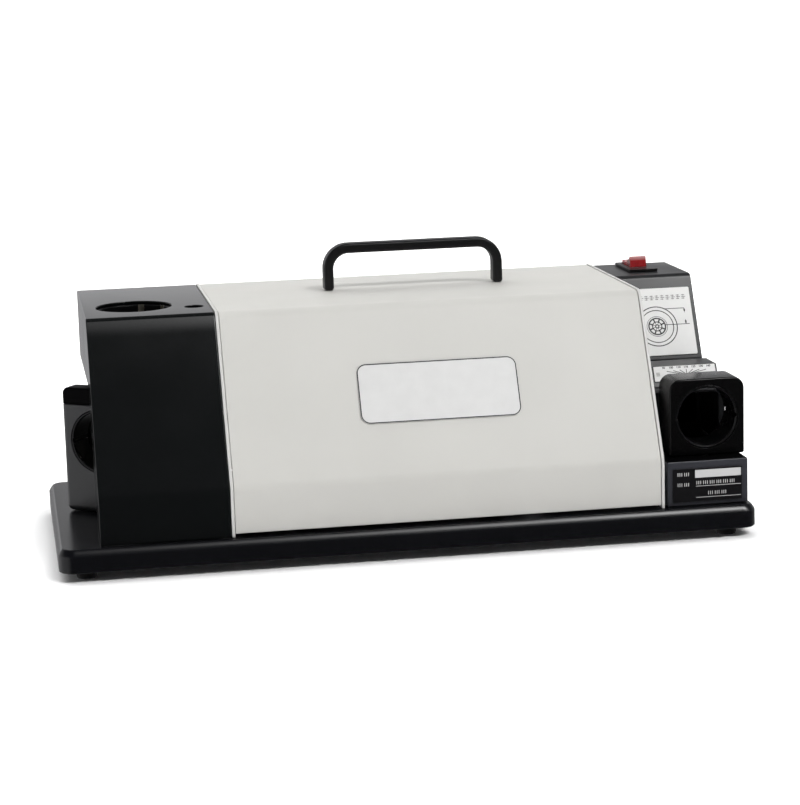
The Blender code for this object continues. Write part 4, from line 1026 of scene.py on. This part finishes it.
def make_floor():
    bm = bmesh.new()
    bmesh.ops.create_circle(bm, cap_ends=True, segments=64, radius=FLOOR_RADIUS)
    mesh = bpy.data.meshes.new("studio_floor")
    bm.to_mesh(mesh)
    bm.free()
    floor = new_object("studio_floor", mesh)
    floor_material()
    mesh.materials.append(MATERIALS["studio_floor"])
    floor.visible_glossy = False

def tone_ramp(tree, value, stops):
    """Grey tones by a value from -1 to 1, given as (value, tone)."""
    node = add_node(tree, "ShaderNodeValToRGB", {"Fac": ranged(tree, value, -1.0, 1.0, 0.0, 1.0)})
    elements = node.color_ramp.elements
    while len(elements) < len(stops):
        elements.new(0.5)
    for element, (place, tone) in zip(elements, stops):
        element.position = (place + 1) / 2
        element.color = (tone, tone, tone * 1.02, 1.0)
    return node.outputs["Color"]

def lamp_glow(tree, x, y, z):
    """The key lamp: a long soft box across the front right of the sky. It fades like a bell curve along
    its length and has steeper long edges."""
    lift = math.radians(KEY_LIFT)
    sideways = times(tree, math_node(tree, "SUBTRACT", x, KEY_X), 1 / KEY_LENGTH)
    tilted = plus(tree, times(tree, y, math.sin(lift)), times(tree, z, math.cos(lift)))
    across = times(tree, tilted, 1 / KEY_HEIGHT)
    across = times(tree, across, across)
    fade = plus(tree, times(tree, sideways, sideways), times(tree, across, across))
    bell = math_node(tree, "POWER", math.e, times(tree, fade, -1.0))
    return times(tree, bell, ranged(tree, z, 0.0, 0.1, 0.0, KEY_PEAK))

def make_world():
    """The studio: a pale wall low behind and at the far left, dark over it, a dim front, and the key lamp.
    Past the floor's edge the camera sees plain white."""
    world = bpy.data.worlds.new("studio")
    world.use_nodes = True
    bpy.context.scene.world = world
    tree = world.node_tree
    background = tree.nodes["Background"]
    direction = add_node(tree, "ShaderNodeTexCoord").outputs["Generated"]
    x, y, z = split(tree, direction)
    behind = ranged(tree, y, -0.25, 0.5, 0.0, 1.0)
    front = tone_ramp(tree, z, [(-1, 0.07), (-0.03, 0.07), (0.03, 0.1), (0.5, 0.12), (0.85, 0.08), (1, 0.08)])
    back = tone_ramp(tree, z, [(-1, 0.38), (-0.02, 0.38), (0.0, 1.0), (0.08, 0.9), (0.15, 0.45), (0.45, 0.42),
                               (0.56, 0.1), (0.85, 0.07), (1, 0.08)])
    left_wall = tone_ramp(tree, z, [(-1, 0.9), (0.0, 0.95), (0.25, 0.9), (0.4, 0.5), (0.55, 0.1), (1, 0.08)])
    sky = mixed(tree, behind, front, back)
    sky = mixed(tree, ranged(tree, x, -0.5, -0.8, 0.0, 1.0), sky, left_wall)
    total = add_node(tree, "ShaderNodeMix", data_type="RGBA", blend_type="ADD", clamp_result=False)
    total.inputs["Factor"].default_value = 1.0
    tree.links.new(sky, total.inputs[6])
    tree.links.new(lamp_glow(tree, x, y, z), total.inputs[7])
    seen = add_node(tree, "ShaderNodeLightPath").outputs["Is Camera Ray"]
    tree.links.new(mixed(tree, seen, total.outputs[2], (1.0, 1.0, 1.0, 1.0)), background.inputs["Color"])
    background.inputs["Strength"].default_value = 1.0

def make_studio():
    make_floor()
    make_world()
    make_top_light()
    bpy.context.scene.view_settings.view_transform = "Standard"

# ---- the whole

make_camera()
paint_frame_nodes()
make_base()
make_plates()
make_cover()
make_screws()
make_handle()
make_hood()
make_cup()
make_thinning_port()
make_guards()
make_console()
make_lower_box()
make_housing()
make_swivel_port()
make_switch()
make_inlet()
make_wheels()
make_labels()
make_studio()

bpy.context.view_layer.update()
